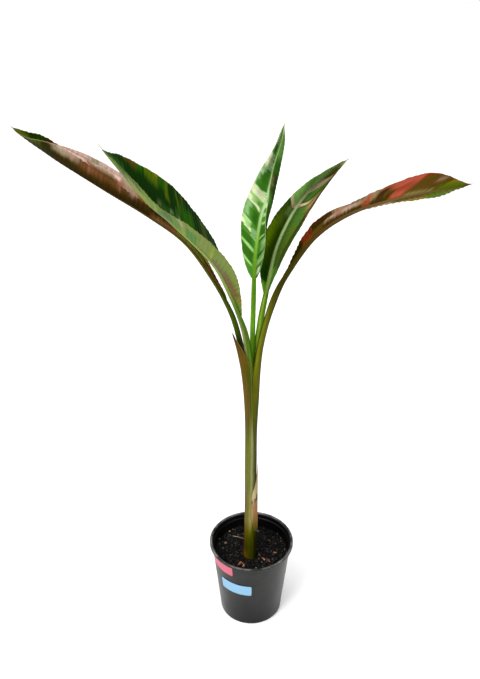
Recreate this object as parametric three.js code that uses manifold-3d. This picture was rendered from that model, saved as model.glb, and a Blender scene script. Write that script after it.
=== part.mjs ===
// A young variegated banana plant in a 140 mm nursery pot.
//
// Millimetres, +Z up. The origin is the centre of the pot's base. +X is to the right of the plant's front,
// and +Y is to its back. Five leaves rise from one corm. Each is a single growth: a sheath that wraps the
// younger ones, a channelled stalk, and a blade in two halves along a midrib. The sheaths nest in each
// other and together form the trunk.
import * as THREE from "three";
import { mergeVertices } from "three/addons/utils/BufferGeometryUtils.js";
import Module from "manifold-3d";

const wasm = await Module();
wasm.setup();

// ---------------------------------------------------------------- driving dimensions

const GAP = 0.3; // clearance between pieces that touch

const POT = {
  height: 146,
  baseRadius: 52,
  mouthRadius: 65.4, // outside of the wall, just under the rolled rim
  rimRadius: 70,
  rimDepth: 5, // from the top of the rolled rim down to its lower edge
  wall: 1.6,
  collarWall: 0.9, // the wall is thinner above the stacking step
  collarDepth: 9, // from the rim down to the stacking step
  floor: 2,
  holes: 8, // drain holes in the base
  holeRadius: 4,
  holeCircle: 40,
  sides: 36,
};

const SOIL = {
  level: 121, // mean height of the surface
  relief: 1.6, // rise and fall of the surface
  dip: 2.5, // the surface falls this much towards the trunk
  dipRadius: 26, // over about this distance
  rings: 7,
  sides: 36,
  chips: 28, // bark chips fused to the surface
  chipLength: [5, 12],
  seed: 7,
};

const TRUNK = {
  foot: 88, // where the sheaths start, on the corm
  left: -1.4, // the trunk stands a little to the left of the pot's axis
  front: -6, // and a little forward of it
  flare: 0.2, // the foot is wider than the trunk by this share
  flareTop: 250, // height where the flare ends
  holeRadius: 12.4, // the hole in the soil
};

const CORM = { radius: 19, height: 30 };

const BLADE = {
  thickness: 0.8,
  crease: 6, // the half blade leaves the midrib flat and reaches its fold angle over this distance
  stations: 16,
  steps: 5, // steps across each half
  baseFlare: 1, // half width that the blade has where it starts
  baseShare: 0.12, // share of the blade's length over which the flare runs out
  tipShare: 0.12, // share of the blade's length that the drawn-out tip takes
};

// The sheath is round up to one height and has become the channelled stalk at the other. Under the base
// of the blade the stalk turns into the keel, over a length to each side of it.
const STALK = {
  sides: 12,
  sheathEnd: 430,
  stalkStart: 530,
  rollBlend: 80, // the roll of the blade sets in over this distance before it
  keelBlend: 40,
  slim: 0.93, // the stalk is this much slimmer where it starts to turn into the keel
  keelTop: 0.5, // height of the keel above its own centre
  keelLevel: -0.4, // and the level of that centre
  tip: { half: 0.5, top: 0.3, bottom: 0.6 },
  reach: 0.99, // share of the midrib that the keel follows
  channelSpread: 0.5, // half width of the channel as a share of the stalk's
};

// Each leaf: the points of its midrib above the trunk, the direction it leans to, its sheath radius, and
// the half blades. roll turns the blade about its midrib. fold is the angle of a half blade at the midrib
// and curl is how much further it turns on the way to its margin. The lists are degrees at even steps
// from the base of the blade to its tip. Leaves are listed from the youngest, in the middle, outwards.
const LEAVES = {
  centre_leaf: {
    azimuth: 90,
    path: [[-1, -5, 440], [-1, -4.5, 500], [-0.8, -2, 557], [0, 2, 604], [0.9, 8, 645],
      [2.3, 14, 671], [8.5, 26, 715], [17, 36, 743], [27, 50, 784], [41, 70, 838]],
    sheath: 3.6,
    stalk: { half: 3.9, top: 2.4, bottom: 4, channel: 2.8 },
    keel: { half: 2.8, depth: 3 },
    bladeStart: 0.715,
    outline: [0.76, 0.76],
    roll: [-8, -7, -8, -17, -37],
    left: { width: 34, fold: [29, 23, 23, 31, 39], curl: [17, 16, 20, 31, 46] },
    right: { width: 33, fold: [57, 44, 34, 20, -10], curl: [14, 60, 122, 182, 234] },
  },
  mid_right_leaf: {
    azimuth: 48,
    path: [[-0.5, -5, 440], [1.5, -4, 490], [5.5, -1, 530], [11, 5, 572], [18, 14, 608],
      [31, 32, 667], [50, 48, 708], [70, 60, 735], [94, 74, 755], [133, 95, 778]],
    sheath: 4.8,
    stalk: { half: 4.9, top: 2.8, bottom: 5, channel: 3.2 },
    keel: { half: 3.2, depth: 3.6 },
    bladeStart: 0.688,
    outline: [0.86, 0.96],
    roll: [-35, -39, -42, -37, -36],
    left: { width: 35.5, fold: [51, 41, 46, 63, 80], curl: [20, 13, 17, 33, 50] },
    right: { width: 38, fold: [24, -4, -18, 1, 46], curl: [116, 157, 163, 118, 64] },
  },
  near_left_leaf: {
    azimuth: 200,
    path: [[-2, -6.5, 440], [-3.2, -8, 489], [-6.6, -11, 529], [-13.3, -15, 570],
      [-31, -26, 628], [-55, -40, 685], [-103, -57, 746.5], [-134, -67, 781],
      [-166, -78, 829.5], [-186, -85, 862]],
    sheath: 6,
    stalk: { half: 5, top: 5.4, bottom: 6.4, channel: 5.4 },
    keel: { half: 3.6, depth: 4.2 },
    bladeStart: 0.595,
    outline: [1.06, 0.74],
    roll: [-9, 3, 16, 26, 5],
    left: { width: 48, fold: [30, 32, 39, 37, 15], curl: [-1, 0, 4, 8, 8] },
    right: { width: 48, outline: [0.62, 0.72], fold: [19, 23, 24, 32, 22], curl: [-8, -9, -6, -2, -14] },
  },
  far_left_leaf: {
    azimuth: 172,
    path: [[-3, -6, 440], [-8.5, -6, 487], [-17, -3, 535], [-30.5, 4, 583], [-57.5, 12, 635],
      [-94.5, 24, 684], [-146, 40, 717], [-206, 55, 749], [-268, 68, 785.5],
      [-329, 80, 829]],
    sheath: 7.2,
    stalk: { half: 4.8, top: 3.6, bottom: 5.8, channel: 3.2 },
    keel: { half: 3.6, depth: 4.2 },
    bladeStart: 0.571,
    outline: [0.94, 0.58],
    roll: [-7, 0, 2, 14, 30],
    left: { width: 37, fold: [110, 107, 89, 74, 44], curl: [100, 96, 86, 61, 14] },
    right: { width: 37, fold: [105, 102, 83, 81, 73], curl: [74, 66, 47, 41, 35] },
  },
  far_right_leaf: {
    azimuth: -10,
    path: [[0.9, -6.5, 440], [3.3, -7, 488], [8, -9, 537], [17.5, -12, 584], [31.5, -15, 628],
      [47.8, -18, 662], [80.3, -26, 716], [124, -38, 754], [180, -49, 779],
      [235, -56, 794], [270, -58, 802]],
    sheath: 8.8,
    stalk: { half: 5, top: 3.4, bottom: 7.6, channel: 3.8 },
    keel: { half: 3.4, depth: 4 },
    bladeStart: 0.653,
    outline: [0.76, 0.42],
    roll: [41, 47, 71, 75, 46],
    left: { width: 27, fold: [109, 80, 45, 21, 6], curl: [115, 101, 68, 36, 9] },
    right: { width: 27, fold: [122, 83, 64, 41, -9], curl: [109, 93, 75, 45, 2] },
  },
};

// The remains of two older leaves on the outside of the trunk. path is the axis that each wraps above the
// trunk, radius is its inside, and edges are the angles in degrees between which it lies, from the +X
// direction, at even steps from its foot up.
const OLD_SHEATHS = {
  old_sheath: {
    path: [[-3.4, -6, 440], [-7.6, -7, 487], [-13.9, -8.5, 526], [-21, -10, 558]],
    foot: TRUNK.foot,
    radius: 9.15,
    thickness: 0.75,
    edges: [[95, 300], [96, 300], [98, 302], [100, 304], [102, 307], [105, 310], [108, 303], [113, 290],
      [118, 281], [130, 284], [146, 300], [157, 290], [168, 224]],
    stations: 24,
  },
  dry_sheath: {
    path: [],
    foot: 180,
    top: 342,
    radius: 10.25,
    thickness: 0.7,
    edges: [[300, 335], [279, 362], [278, 366], [287, 366], [327, 366], [340, 362], [350, 357]],
    stations: 12,
  },
};

// Adhesive labels on the wall: angles in degrees from the front towards the left, heights on the wall.
const LABELS = {
  label_pink: { from: 29, to: 75, low: 118, high: 138, steps: 8, colour: 0xe8697f },
  label_blue: { from: 0, to: 52, low: 77.5, high: 100, steps: 9, colour: 0x9fd3f2 },
};
const LABEL_THICKNESS = 0.4;

const MATERIALS = {
  pot: { color: 0x191a1b, roughness: 0.45 },
  soil: { color: 0x1d1611, roughness: 1 },
  corm: { color: 0x9c7a52, roughness: 0.9 },
  leaf: { color: 0x4e8f3a, roughness: 0.5 },
  centre_leaf: { color: 0x5aa03f, roughness: 0.45 },
  far_left_leaf: { color: 0x8a6a4e, roughness: 0.5 },
  far_right_leaf: { color: 0x93573f, roughness: 0.5 },
  old_sheath: { color: 0x8a6b43, roughness: 0.75 },
  dry_sheath: { color: 0x9c6f58, roughness: 0.8 },
};

// ---------------------------------------------------------------- numbers and curves

const radians = THREE.MathUtils.degToRad;

// 0 up to 1 as x goes from 0 to 1, level at both ends.
const smooth = (x) => THREE.MathUtils.smoothstep(x, 0, 1);

// The height of a smooth curve through evenly spaced values, at t from 0 to 1.
function along(values, t) {
  const last = values.length - 1;
  const x = THREE.MathUtils.clamp(t, 0, 1) * last;
  const i = Math.min(Math.floor(x), last - 1);
  const u = x - i;
  const [b, c] = [values[i], values[i + 1]];
  const a = i > 0 ? values[i - 1] : 2 * b - c;
  const d = i + 2 <= last ? values[i + 2] : 2 * c - b;
  const cubic = (2 * a - 5 * b + 4 * c - d) * u * u + (3 * b - a - 3 * c + d) * u * u * u;
  return b + 0.5 * ((c - a) * u + cubic);
}

// The same draw of random numbers in every build.
function randomNumbers(seed) {
  let state = seed;
  return () => {
    state = (state * 16807) % 2147483647;
    return state / 2147483647;
  };
}

const trunkPoint = (z) => new THREE.Vector3(TRUNK.left, TRUNK.front, z);

// The curve up the middle of the trunk and on through the given points.
function risingCurve(points, foot = TRUNK.foot) {
  const inTrunk = [foot, 200, 310, 380].map(trunkPoint);
  const above = points.map((p) => new THREE.Vector3(...p));
  const curve = new THREE.CatmullRomCurve3([...inTrunk, ...above], false, "catmullrom", 0.5);
  curve.arcLengthDivisions = 600;
  return curve;
}

// The distance along a rising curve at which it reaches a height.
function distanceAtHeight(curve, height) {
  let [low, high] = [0, 1];
  for (let i = 0; i < 40; i++) {
    const middle = (low + high) / 2;
    if (curve.getPointAt(middle).z < height) low = middle;
    else high = middle;
  }
  return low * curve.getLength();
}

// ---------------------------------------------------------------- solids

// A closed solid from points and triangles, turned so that its faces look out.
function solidFrom(points, triangles) {
  const vertProperties = new Float32Array(points.flatMap((p) => [p.x, p.y, p.z]));
  const made = (faces) => {
    const triVerts = new Uint32Array(faces.flat());
    return new wasm.Manifold(new wasm.Mesh({ numProp: 3, vertProperties, triVerts }));
  };
  const solid = made(triangles);
  return solid.volume() > 0 ? solid : made(triangles.map(([a, b, c]) => [a, c, b]));
}

// A solid through rings of equally many points, closed at both ends by a fan.
function solidThroughRings(rings) {
  const sides = rings[0].length;
  const points = rings.flat();
  const triangles = [];
  for (let i = 0; i + 1 < rings.length; i++) {
    for (let j = 0; j < sides; j++) {
      const [a, b] = [i * sides + j, i * sides + ((j + 1) % sides)];
      triangles.push([a, b, b + sides], [a, b + sides, a + sides]);
    }
  }
  const close = (ring, first, turned) => {
    const centre = new THREE.Vector3();
    ring.forEach((p) => centre.addScaledVector(p, 1 / sides));
    points.push(centre);
    for (let j = 0; j < sides; j++) {
      const [a, b] = [first + j, first + ((j + 1) % sides)];
      triangles.push(turned ? [points.length - 1, b, a] : [points.length - 1, a, b]);
    }
  };
  close(rings[0], 0, true);
  close(rings.at(-1), (rings.length - 1) * sides, false);
  return solidFrom(points, triangles);
}

// A thin solid between two grids of the same size, with the same triangles on both.
function solidBetweenGrids(front, back) {
  const [rows, columns] = [front.length, front[0].length];
  const points = [...front.flat(), ...back.flat()];
  const behind = rows * columns;
  const triangles = [];
  for (let i = 0; i + 1 < rows; i++) {
    for (let j = 0; j + 1 < columns; j++) {
      const [a, b] = [i * columns + j, i * columns + j + 1];
      const [c, d] = [b + columns, a + columns];
      const split = j < columns / 2 - 0.5 ? [[a, b, d], [b, c, d]] : [[a, b, c], [a, c, d]];
      for (const [p, q, r] of split) {
        triangles.push([p, q, r], [behind + p, behind + r, behind + q]);
      }
    }
  }
  const edge = [];
  for (let j = 0; j < columns; j++) edge.push(j);
  for (let i = 1; i < rows; i++) edge.push(i * columns + columns - 1);
  for (let j = columns - 2; j >= 0; j--) edge.push((rows - 1) * columns + j);
  for (let i = rows - 2; i > 0; i--) edge.push(i * columns);
  edge.forEach((a, k) => {
    const b = edge[(k + 1) % edge.length];
    triangles.push([a, behind + a, b], [b, behind + a, behind + b]);
  });
  return solidFrom(points, triangles);
}

// A three.js geometry as a solid.
function solidFromGeometry(geometry) {
  const bare = geometry.clone();
  bare.deleteAttribute("normal");
  bare.deleteAttribute("uv");
  const merged = mergeVertices(bare, 1e-4);
  const position = merged.getAttribute("position");
  const points = [];
  for (let i = 0; i < position.count; i++) points.push(new THREE.Vector3().fromBufferAttribute(position, i));
  const index = [...merged.index.array];
  const triangles = [];
  for (let i = 0; i < index.length; i += 3) {
    const [a, b, c] = index.slice(i, i + 3);
    if (a !== b && b !== c && c !== a) triangles.push([a, b, c]);
  }
  return solidFrom(points, triangles);
}

// A turned body about +Z from [radius, height] pairs, in either direction round the outline.
function turned(outline, sides) {
  const lathe = new THREE.LatheGeometry(outline.map(([r, z]) => new THREE.Vector2(r, z)), sides);
  return solidFromGeometry(lathe.rotateX(Math.PI / 2));
}

function cylinder(radius, from, to, x, y, sides = 24) {
  const geometry = new THREE.CylinderGeometry(radius, radius, to - from, sides).rotateX(Math.PI / 2);
  return solidFromGeometry(geometry.translate(x, y, (from + to) / 2));
}

// What is left of a solid after the cuts, without the crumbs.
function largest(solid) {
  return solid.decompose().reduce((a, b) => (a.volume() > b.volume() ? a : b));
}

function meshOf(name, solid) {
  const { vertProperties, triVerts } = solid.getMesh();
  const geometry = new THREE.BufferGeometry();
  geometry.setAttribute("position", new THREE.BufferAttribute(new Float32Array(vertProperties), 3));
  geometry.setIndex(new THREE.BufferAttribute(new Uint32Array(triVerts), 1));
  geometry.computeVertexNormals();
  const paper = name in LABELS && { color: LABELS[name].colour, roughness: 0.6 };
  const look = MATERIALS[name] ?? (paper || MATERIALS.leaf);
  const mesh = new THREE.Mesh(geometry, new THREE.MeshStandardMaterial({ ...look, metalness: 0 }));
  mesh.name = name;
  return mesh;
}

// ---------------------------------------------------------------- pot, labels, soil, corm

// The radius of the outside of the pot's wall at a height.
function wallRadius(z) {
  return THREE.MathUtils.mapLinear(z, 0, POT.height - POT.rimDepth, POT.baseRadius, POT.mouthRadius);
}

function potSolid() {
  const rim = POT.height;
  const underRim = rim - POT.rimDepth;
  const step = rim - POT.collarDepth;
  const outline = [
    [0, 0],
    [POT.baseRadius - 2, 0],
    [wallRadius(0.6) - 0.5, 0.6],
    [wallRadius(2), 2],
    [POT.mouthRadius, underRim],
    [POT.rimRadius - 1.4, underRim + 0.2],
    [POT.rimRadius - 0.2, underRim + 1.4],
    [POT.rimRadius, rim - 1.6],
    [POT.rimRadius - 1.3, rim - 0.2],
    [POT.rimRadius - 3, rim],
    [POT.mouthRadius - 0.2, rim - 0.7],
    [POT.mouthRadius - POT.collarWall, rim - 2.5],
    [wallRadius(step) - POT.collarWall, step],
    [wallRadius(step) - POT.wall - 0.6, step - 0.8],
    [wallRadius(POT.floor + 2) - POT.wall, POT.floor + 2],
    [wallRadius(POT.floor) - POT.wall - 1.5, POT.floor],
    [0, POT.floor],
  ];
  let pot = turned(outline, POT.sides);
  for (let i = 0; i < POT.holes; i++) {
    const angle = ((i + 0.5) / POT.holes) * 2 * Math.PI;
    const [x, y] = [POT.holeCircle * Math.cos(angle), POT.holeCircle * Math.sin(angle)];
    pot = pot.subtract(cylinder(POT.holeRadius, -1, POT.floor + 1, x, y, 12));
  }
  return pot;
}

function labelSolid({ from, to, low, high, steps }) {
  const grid = (lift) =>
    [low, high].map((z) =>
      Array.from({ length: steps + 1 }, (_, i) => {
        const angle = radians(-90 - THREE.MathUtils.lerp(from, to, i / steps));
        const r = wallRadius(z) + lift;
        return new THREE.Vector3(r * Math.cos(angle), r * Math.sin(angle), z);
      }),
    );
  return solidBetweenGrids(grid(GAP), grid(GAP + LABEL_THICKNESS));
}

// The height of the potting mix: low ripples that run across each other, and a dip towards the trunk.
function soilHeight(x, y) {
  const broad = Math.sin(x * 0.13 + 1) * Math.cos(y * 0.11);
  const ripples = broad + 0.6 * Math.sin(x * 0.29 - y * 0.21) + 0.4 * Math.cos(y * 0.37 + x * 0.09);
  const near = Math.exp(-(((x - TRUNK.left) ** 2 + (y - TRUNK.front) ** 2) / SOIL.dipRadius ** 2));
  return SOIL.level + (SOIL.relief / 2) * ripples - SOIL.dip * near;
}

function soilSolid() {
  const circle = (radius, height) =>
    Array.from({ length: SOIL.sides }, (_, j) => {
      const angle = (j / SOIL.sides) * 2 * Math.PI;
      const [x, y] = [radius * Math.cos(angle), radius * Math.sin(angle)];
      return new THREE.Vector3(x, y, height ?? soilHeight(x, y));
    });
  const inside = (z) => wallRadius(z) - POT.wall - 4 * GAP;
  const outer = inside(SOIL.level);
  const rings = [circle(inside(POT.floor) - 2, POT.floor + GAP)];
  for (let i = SOIL.rings; i > 0; i--) rings.push(circle((outer * i) / SOIL.rings));
  let soil = solidThroughRings(rings);
  for (const chip of barkChips(outer)) soil = soil.add(chip);
  const top = SOIL.level + 20;
  const hole = cylinder(TRUNK.holeRadius, TRUNK.foot - 1, top, TRUNK.left, TRUNK.front);
  return largest(soil.subtract(hole).subtract(cormSolid(GAP)));
}

// Bark chips: flat blocks, half sunk in the surface and turned at random.
function barkChips(outer) {
  const random = randomNumbers(SOIL.seed);
  const between = (a, b) => a + (b - a) * random();
  const chips = [];
  while (chips.length < SOIL.chips) {
    const angle = between(0, 2 * Math.PI);
    const radius = (outer - 8) * Math.sqrt(random());
    const [x, y] = [radius * Math.cos(angle), radius * Math.sin(angle)];
    const length = between(...SOIL.chipLength);
    const block = new THREE.BoxGeometry(length, length * between(0.35, 0.6), length * between(0.18, 0.32));
    block.rotateX(between(-0.5, 0.5));
    block.rotateY(between(-0.35, 0.35));
    block.rotateZ(between(0, Math.PI));
    if (Math.hypot(x - TRUNK.left, y - TRUNK.front) > TRUNK.holeRadius + 6) {
      chips.push(solidFromGeometry(block.translate(x, y, soilHeight(x, y) + 0.4)));
    }
  }
  return chips;
}

// The corm under the trunk, grown by a clearance when it cuts its own bed.
function cormSolid(grow = 0) {
  const top = TRUNK.foot - GAP;
  const { radius, height } = CORM;
  const outline = [
    [0, top - height - grow],
    [radius * 0.45, top - height - grow],
    [radius * 0.85 + grow, top - height * 0.8],
    [radius + grow, top - height * 0.5],
    [radius * 0.9 + grow, top - height * 0.2],
    [radius * 0.66 + grow, top + (grow ? GAP : 0)],
    [0, top + (grow ? GAP : 0)],
  ];
  return turned(outline, 20).translate([TRUNK.left, TRUNK.front, 0]);
}

// ---------------------------------------------------------------- leaves

// A leaf with its curve, its length and the distances where its parts start.
function measured(leaf) {
  const curve = risingCurve(leaf.path);
  const length = curve.getLength();
  const side = new THREE.Vector3(Math.sin(radians(leaf.azimuth)), -Math.cos(radians(leaf.azimuth)), 0);
  return { ...leaf, curve, length, side, bladeFrom: length * leaf.bladeStart };
}

// Point, side direction (to the right half) and upper-face direction on the midrib at a distance.
function frameAt(leaf, distance, roll) {
  const at = (d) => leaf.curve.getPointAt(THREE.MathUtils.clamp(d / leaf.length, 0, 1));
  const tangent = at(distance + 1.5).sub(at(distance - 1.5)).normalize();
  const across = leaf.side.clone().addScaledVector(tangent, -leaf.side.dot(tangent)).normalize();
  const up = across.clone().cross(tangent);
  const [c, s] = [Math.cos(radians(roll)), Math.sin(radians(roll))];
  return {
    point: at(distance),
    tangent,
    across: across.clone().multiplyScalar(c).addScaledVector(up, s),
    up: up.clone().multiplyScalar(c).addScaledVector(across, -s),
  };
}

// Knots along the sheath, stalk and keel: distance, half width, height above and below the midrib line,
// depth of the channel on top, and the level of the section's own centre.
function stalkKnots(leaf) {
  const { half, top, bottom, channel } = leaf.stalk;
  const { slim, keelTop, keelLevel, tip } = STALK;
  const wide = leaf.sheath * (1 + TRUNK.flare);
  const r = leaf.sheath;
  const at = (height) => distanceAtHeight(leaf.curve, height);
  return [
    [0, wide, wide, wide, 0, 0],
    [at(TRUNK.flareTop), r, r, r, 0, 0],
    [at(STALK.sheathEnd), r, r, r, 0, 0],
    [at(STALK.stalkStart), half, top, bottom, channel, 0],
    [leaf.bladeFrom - STALK.keelBlend, half * slim, top * slim, bottom * slim, channel * slim, 0],
    [leaf.bladeFrom + STALK.keelBlend, leaf.keel.half, keelTop, leaf.keel.depth, 0, keelLevel],
    [leaf.length, tip.half, tip.top, tip.bottom, 0, keelLevel],
  ];
}

// One ring of the stalk at a distance, grown by a clearance when it cuts the sheaths around it.
function stalkRing(leaf, knots, distance, grow) {
  let i = 0;
  while (i + 2 < knots.length && knots[i + 1][0] <= distance) i++;
  const u = smooth((distance - knots[i][0]) / (knots[i + 1][0] - knots[i][0]));
  const [, half, top, bottom, channel, level] = knots[i].map((v, k) => v + (knots[i + 1][k] - v) * u);
  const turn = smooth((distance - leaf.bladeFrom + STALK.rollBlend) / STALK.rollBlend);
  const share = (distance - leaf.bladeFrom) / (leaf.length - leaf.bladeFrom);
  const { point, across, up } = frameAt(leaf, distance, along(leaf.roll, share) * turn);
  return Array.from({ length: STALK.sides }, (_, j) => {
    const angle = (j / STALK.sides) * 2 * Math.PI;
    const [c, s] = [Math.cos(angle), Math.sin(angle)];
    const groove = s > 0 ? channel * Math.exp(-((c / STALK.channelSpread) ** 2)) : 0;
    const rise = level + (s > 0 ? top + grow : bottom + grow) * s - groove;
    return point.clone().addScaledVector(across, (half + grow) * c).addScaledVector(up, rise);
  });
}

// Sheath, stalk and keel in one body, from the corm to the tip.
function stalkSolid(leaf, grow = 0) {
  const knots = stalkKnots(leaf);
  const below = [0, knots[1][0] / 2, knots[1][0], knots[2][0]];
  const span = (from, to, count) =>
    Array.from({ length: count }, (_, i) => THREE.MathUtils.lerp(from, to, (i + 1) / count));
  const distances = [
    ...below,
    ...span(knots[2][0], knots[3][0], 7),
    ...span(knots[3][0], knots[5][0], 8),
    ...span(knots[5][0], leaf.length * STALK.reach, 11),
  ];
  const rings = distances.map((d) => stalkRing(leaf, knots, d, grow));
  if (grow) rings[0] = rings[0].map((p) => p.clone().setZ(p.z - 2));
  return solidThroughRings(rings);
}

// The share of the full half width at t from 0 at the base of the blade to 1 at its tip.
function bladeOutline([p, q], t) {
  const peak = p / (p + q);
  const shape = (Math.max(t, 1e-4) ** p * (1 - t) ** q) / (peak ** p * (1 - peak) ** q);
  return shape * Math.sqrt(smooth((1 - t) / BLADE.tipShare));
}

// Across one half blade at t: [distance out, rise] at each step from the midrib to the margin.
function halfSection(leaf, half, t) {
  const shape = half.width * bladeOutline(half.outline ?? leaf.outline, t);
  const width = Math.max(shape, 0.4) + BLADE.baseFlare * (1 - smooth(t / BLADE.baseShare));
  const [fold, curl] = [radians(along(half.fold, t)), radians(along(half.curl, t))];
  const fine = 6;
  const section = [[0, 0]];
  let [out, rise] = [0, 0];
  for (let k = 0; k < BLADE.steps * fine; k++) {
    const u = (k + 0.5) / (BLADE.steps * fine);
    const angle = fold * smooth((u * width) / BLADE.crease) + curl * u;
    out += (Math.cos(angle) * width) / (BLADE.steps * fine);
    rise += (Math.sin(angle) * width) / (BLADE.steps * fine);
    if ((k + 1) % fine === 0) section.push([out, rise]);
  }
  return section;
}

// The middle surface of the blade: rows from base to tip, each from the left margin to the right one.
function bladeGrid(leaf) {
  return Array.from({ length: BLADE.stations + 1 }, (_, i) => {
    const t = i / BLADE.stations;
    const distance = THREE.MathUtils.lerp(leaf.bladeFrom, leaf.length, t);
    const { point, across, up } = frameAt(leaf, distance, along(leaf.roll, t));
    const place = (sign) => ([out, rise]) =>
      point.clone().addScaledVector(across, sign * out).addScaledVector(up, rise);
    const left = halfSection(leaf, leaf.left, t).map(place(-1)).reverse();
    const right = halfSection(leaf, leaf.right, t).map(place(1));
    return [...left, ...right.slice(1)];
  });
}

// The blade as a thin solid, half its thickness to each side of the middle surface.
function bladeSolid(leaf) {
  const grid = bladeGrid(leaf);
  const [rows, columns] = [grid.length, grid[0].length];
  const offset = (side) =>
    grid.map((row, i) =>
      row.map((p, j) => {
        const tipward = grid[Math.min(i + 1, rows - 1)][j].clone().sub(grid[Math.max(i - 1, 0)][j]);
        const rightward = row[Math.min(j + 1, columns - 1)].clone().sub(row[Math.max(j - 1, 0)]);
        const normal = rightward.cross(tipward).normalize();
        return p.clone().addScaledVector(normal, (side * BLADE.thickness) / 2);
      }),
    );
  return solidBetweenGrids(offset(1), offset(-1));
}

// ---------------------------------------------------------------- remains of older leaves

// A shell round the trunk between two angles, narrowing as it rises.
function oldSheathSolid(sheath) {
  const curve = risingCurve(sheath.path);
  const length = curve.getLength();
  const from = distanceAtHeight(curve, sheath.foot);
  const to = sheath.top ? distanceAtHeight(curve, sheath.top) : length;
  const flareEnd = distanceAtHeight(curve, TRUNK.flareTop);
  const steps = 8;
  const grid = (lift) =>
    Array.from({ length: sheath.stations + 1 }, (_, i) => {
      const t = i / sheath.stations;
      const distance = from + (to - from) * t;
      const centre = curve.getPointAt(distance / length);
      const r = sheath.radius * (1 + TRUNK.flare * (1 - smooth(distance / flareEnd))) + lift;
      const first = along(sheath.edges.map((e) => e[0]), t);
      const last = along(sheath.edges.map((e) => e[1]), t);
      return Array.from({ length: steps + 1 }, (_, j) => {
        const angle = radians(first + ((last - first) * j) / steps);
        return new THREE.Vector3(centre.x + r * Math.cos(angle), centre.y + r * Math.sin(angle), centre.z);
      });
    });
  return solidBetweenGrids(grid(0), grid(sheath.thickness));
}

// ---------------------------------------------------------------- assembly

const plant = new THREE.Group();
plant.add(meshOf("pot", potSolid()));
plant.add(meshOf("soil", soilSolid()));
plant.add(meshOf("corm", cormSolid()));
for (const [name, label] of Object.entries(LABELS)) plant.add(meshOf(name, labelSolid(label)));

const clearances = []; // the stalks so far, each grown by the gap
for (const [name, draft] of Object.entries(LEAVES)) {
  const leaf = measured(draft);
  let stalk = stalkSolid(leaf);
  for (const other of clearances) stalk = stalk.subtract(other);
  clearances.push(stalkSolid(leaf, GAP));
  plant.add(meshOf(name, largest(stalk).add(bladeSolid(leaf))));
}
for (const [name, sheath] of Object.entries(OLD_SHEATHS)) {
  let shell = oldSheathSolid(sheath);
  for (const other of clearances) shell = shell.subtract(other);
  plant.add(meshOf(name, largest(shell)));
}

export default plant;
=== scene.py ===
# %% [markdown]
# # A young variegated banana plant in a nursery pot
#
# This lesson dresses a small potted plant for its portrait. The CAD model already gives every piece its
# place and its main shape, so nothing is fitted by eye here: each cell takes one piece, repeats the
# numbers that shaped it, and adds what a solid model leaves out. That is the fine grid of the surfaces,
# the fibres, the veins, the frayed bands of cream and pink, the crumbs of the potting mix and the soft
# light on the plastic.
#
# Shapes are worked out in millimetres with numpy as whole grids of points, and only the step that
# makes a Blender mesh turns them into metres.

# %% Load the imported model
import math

import bpy
import numpy as np
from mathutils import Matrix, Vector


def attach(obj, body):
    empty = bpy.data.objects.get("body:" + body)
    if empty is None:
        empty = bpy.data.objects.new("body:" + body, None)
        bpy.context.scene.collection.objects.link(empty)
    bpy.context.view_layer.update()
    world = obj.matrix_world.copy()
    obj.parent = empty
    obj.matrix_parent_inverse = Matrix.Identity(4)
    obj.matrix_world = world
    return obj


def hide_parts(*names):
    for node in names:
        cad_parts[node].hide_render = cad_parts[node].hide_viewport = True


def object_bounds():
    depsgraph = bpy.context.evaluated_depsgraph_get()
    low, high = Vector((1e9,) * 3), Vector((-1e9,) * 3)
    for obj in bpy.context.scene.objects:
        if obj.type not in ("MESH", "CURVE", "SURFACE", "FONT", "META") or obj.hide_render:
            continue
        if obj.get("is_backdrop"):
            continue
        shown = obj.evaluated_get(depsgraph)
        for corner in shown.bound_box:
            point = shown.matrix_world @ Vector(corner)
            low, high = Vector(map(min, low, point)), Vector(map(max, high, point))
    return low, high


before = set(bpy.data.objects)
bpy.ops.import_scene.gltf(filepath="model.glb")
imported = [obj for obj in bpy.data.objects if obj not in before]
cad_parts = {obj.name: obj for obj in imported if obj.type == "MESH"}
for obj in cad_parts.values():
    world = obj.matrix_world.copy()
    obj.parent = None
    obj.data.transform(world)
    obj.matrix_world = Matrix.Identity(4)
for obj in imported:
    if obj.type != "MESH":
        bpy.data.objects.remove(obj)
cad_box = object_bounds()
scene = bpy.context.scene
MM = 0.001  # metres in a millimetre
print("CAD nodes:", ", ".join(sorted(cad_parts)))

# %% [markdown]
# ## The camera
#
# The portrait looks down on the plant by a little over thirty degrees, through a lens of about 48 mm
# on a frame 36 mm tall, so the pot is seen partly from above and the leaves open towards us. The
# camera could be aimed with a constraint, but a plain place and a plain turn are easier to read.

# %% Camera
LOOK_DOWN = 31.6  # degrees below level

camera = bpy.data.objects.new("camera", bpy.data.cameras.new("camera"))
scene.collection.objects.link(camera)
camera.location = (-0.019, -1.109, 1.222)
camera.rotation_euler = (math.radians(90 - LOOK_DOWN), 0, 0)
camera.data.lens = 47.72
camera.data.sensor_width = 36
scene.camera = camera
scene.view_settings.view_transform = "Standard"
print("camera looks down", LOOK_DOWN, "degrees")

# %% [markdown]
# ## Curves, noise and colours
#
# Everything that grows is a smooth curve with small irregularities. Two short functions cover that: a
# curve through evenly spaced values, for anything that changes along a leaf, and a gentle noise, for
# anything that should not look ruled. The others turn screen colours into pigments and lay one over
# another. All take whole arrays, so a leaf of twenty thousand points is one call.

# %% Curves, noise and colours


def smooth(x):
    """0 up to 1 as x goes from 0 to 1, level at both ends: three x squared less two x cubed."""
    x = np.clip(x, 0.0, 1.0)
    return x * x * (3.0 - 2.0 * x)


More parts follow.
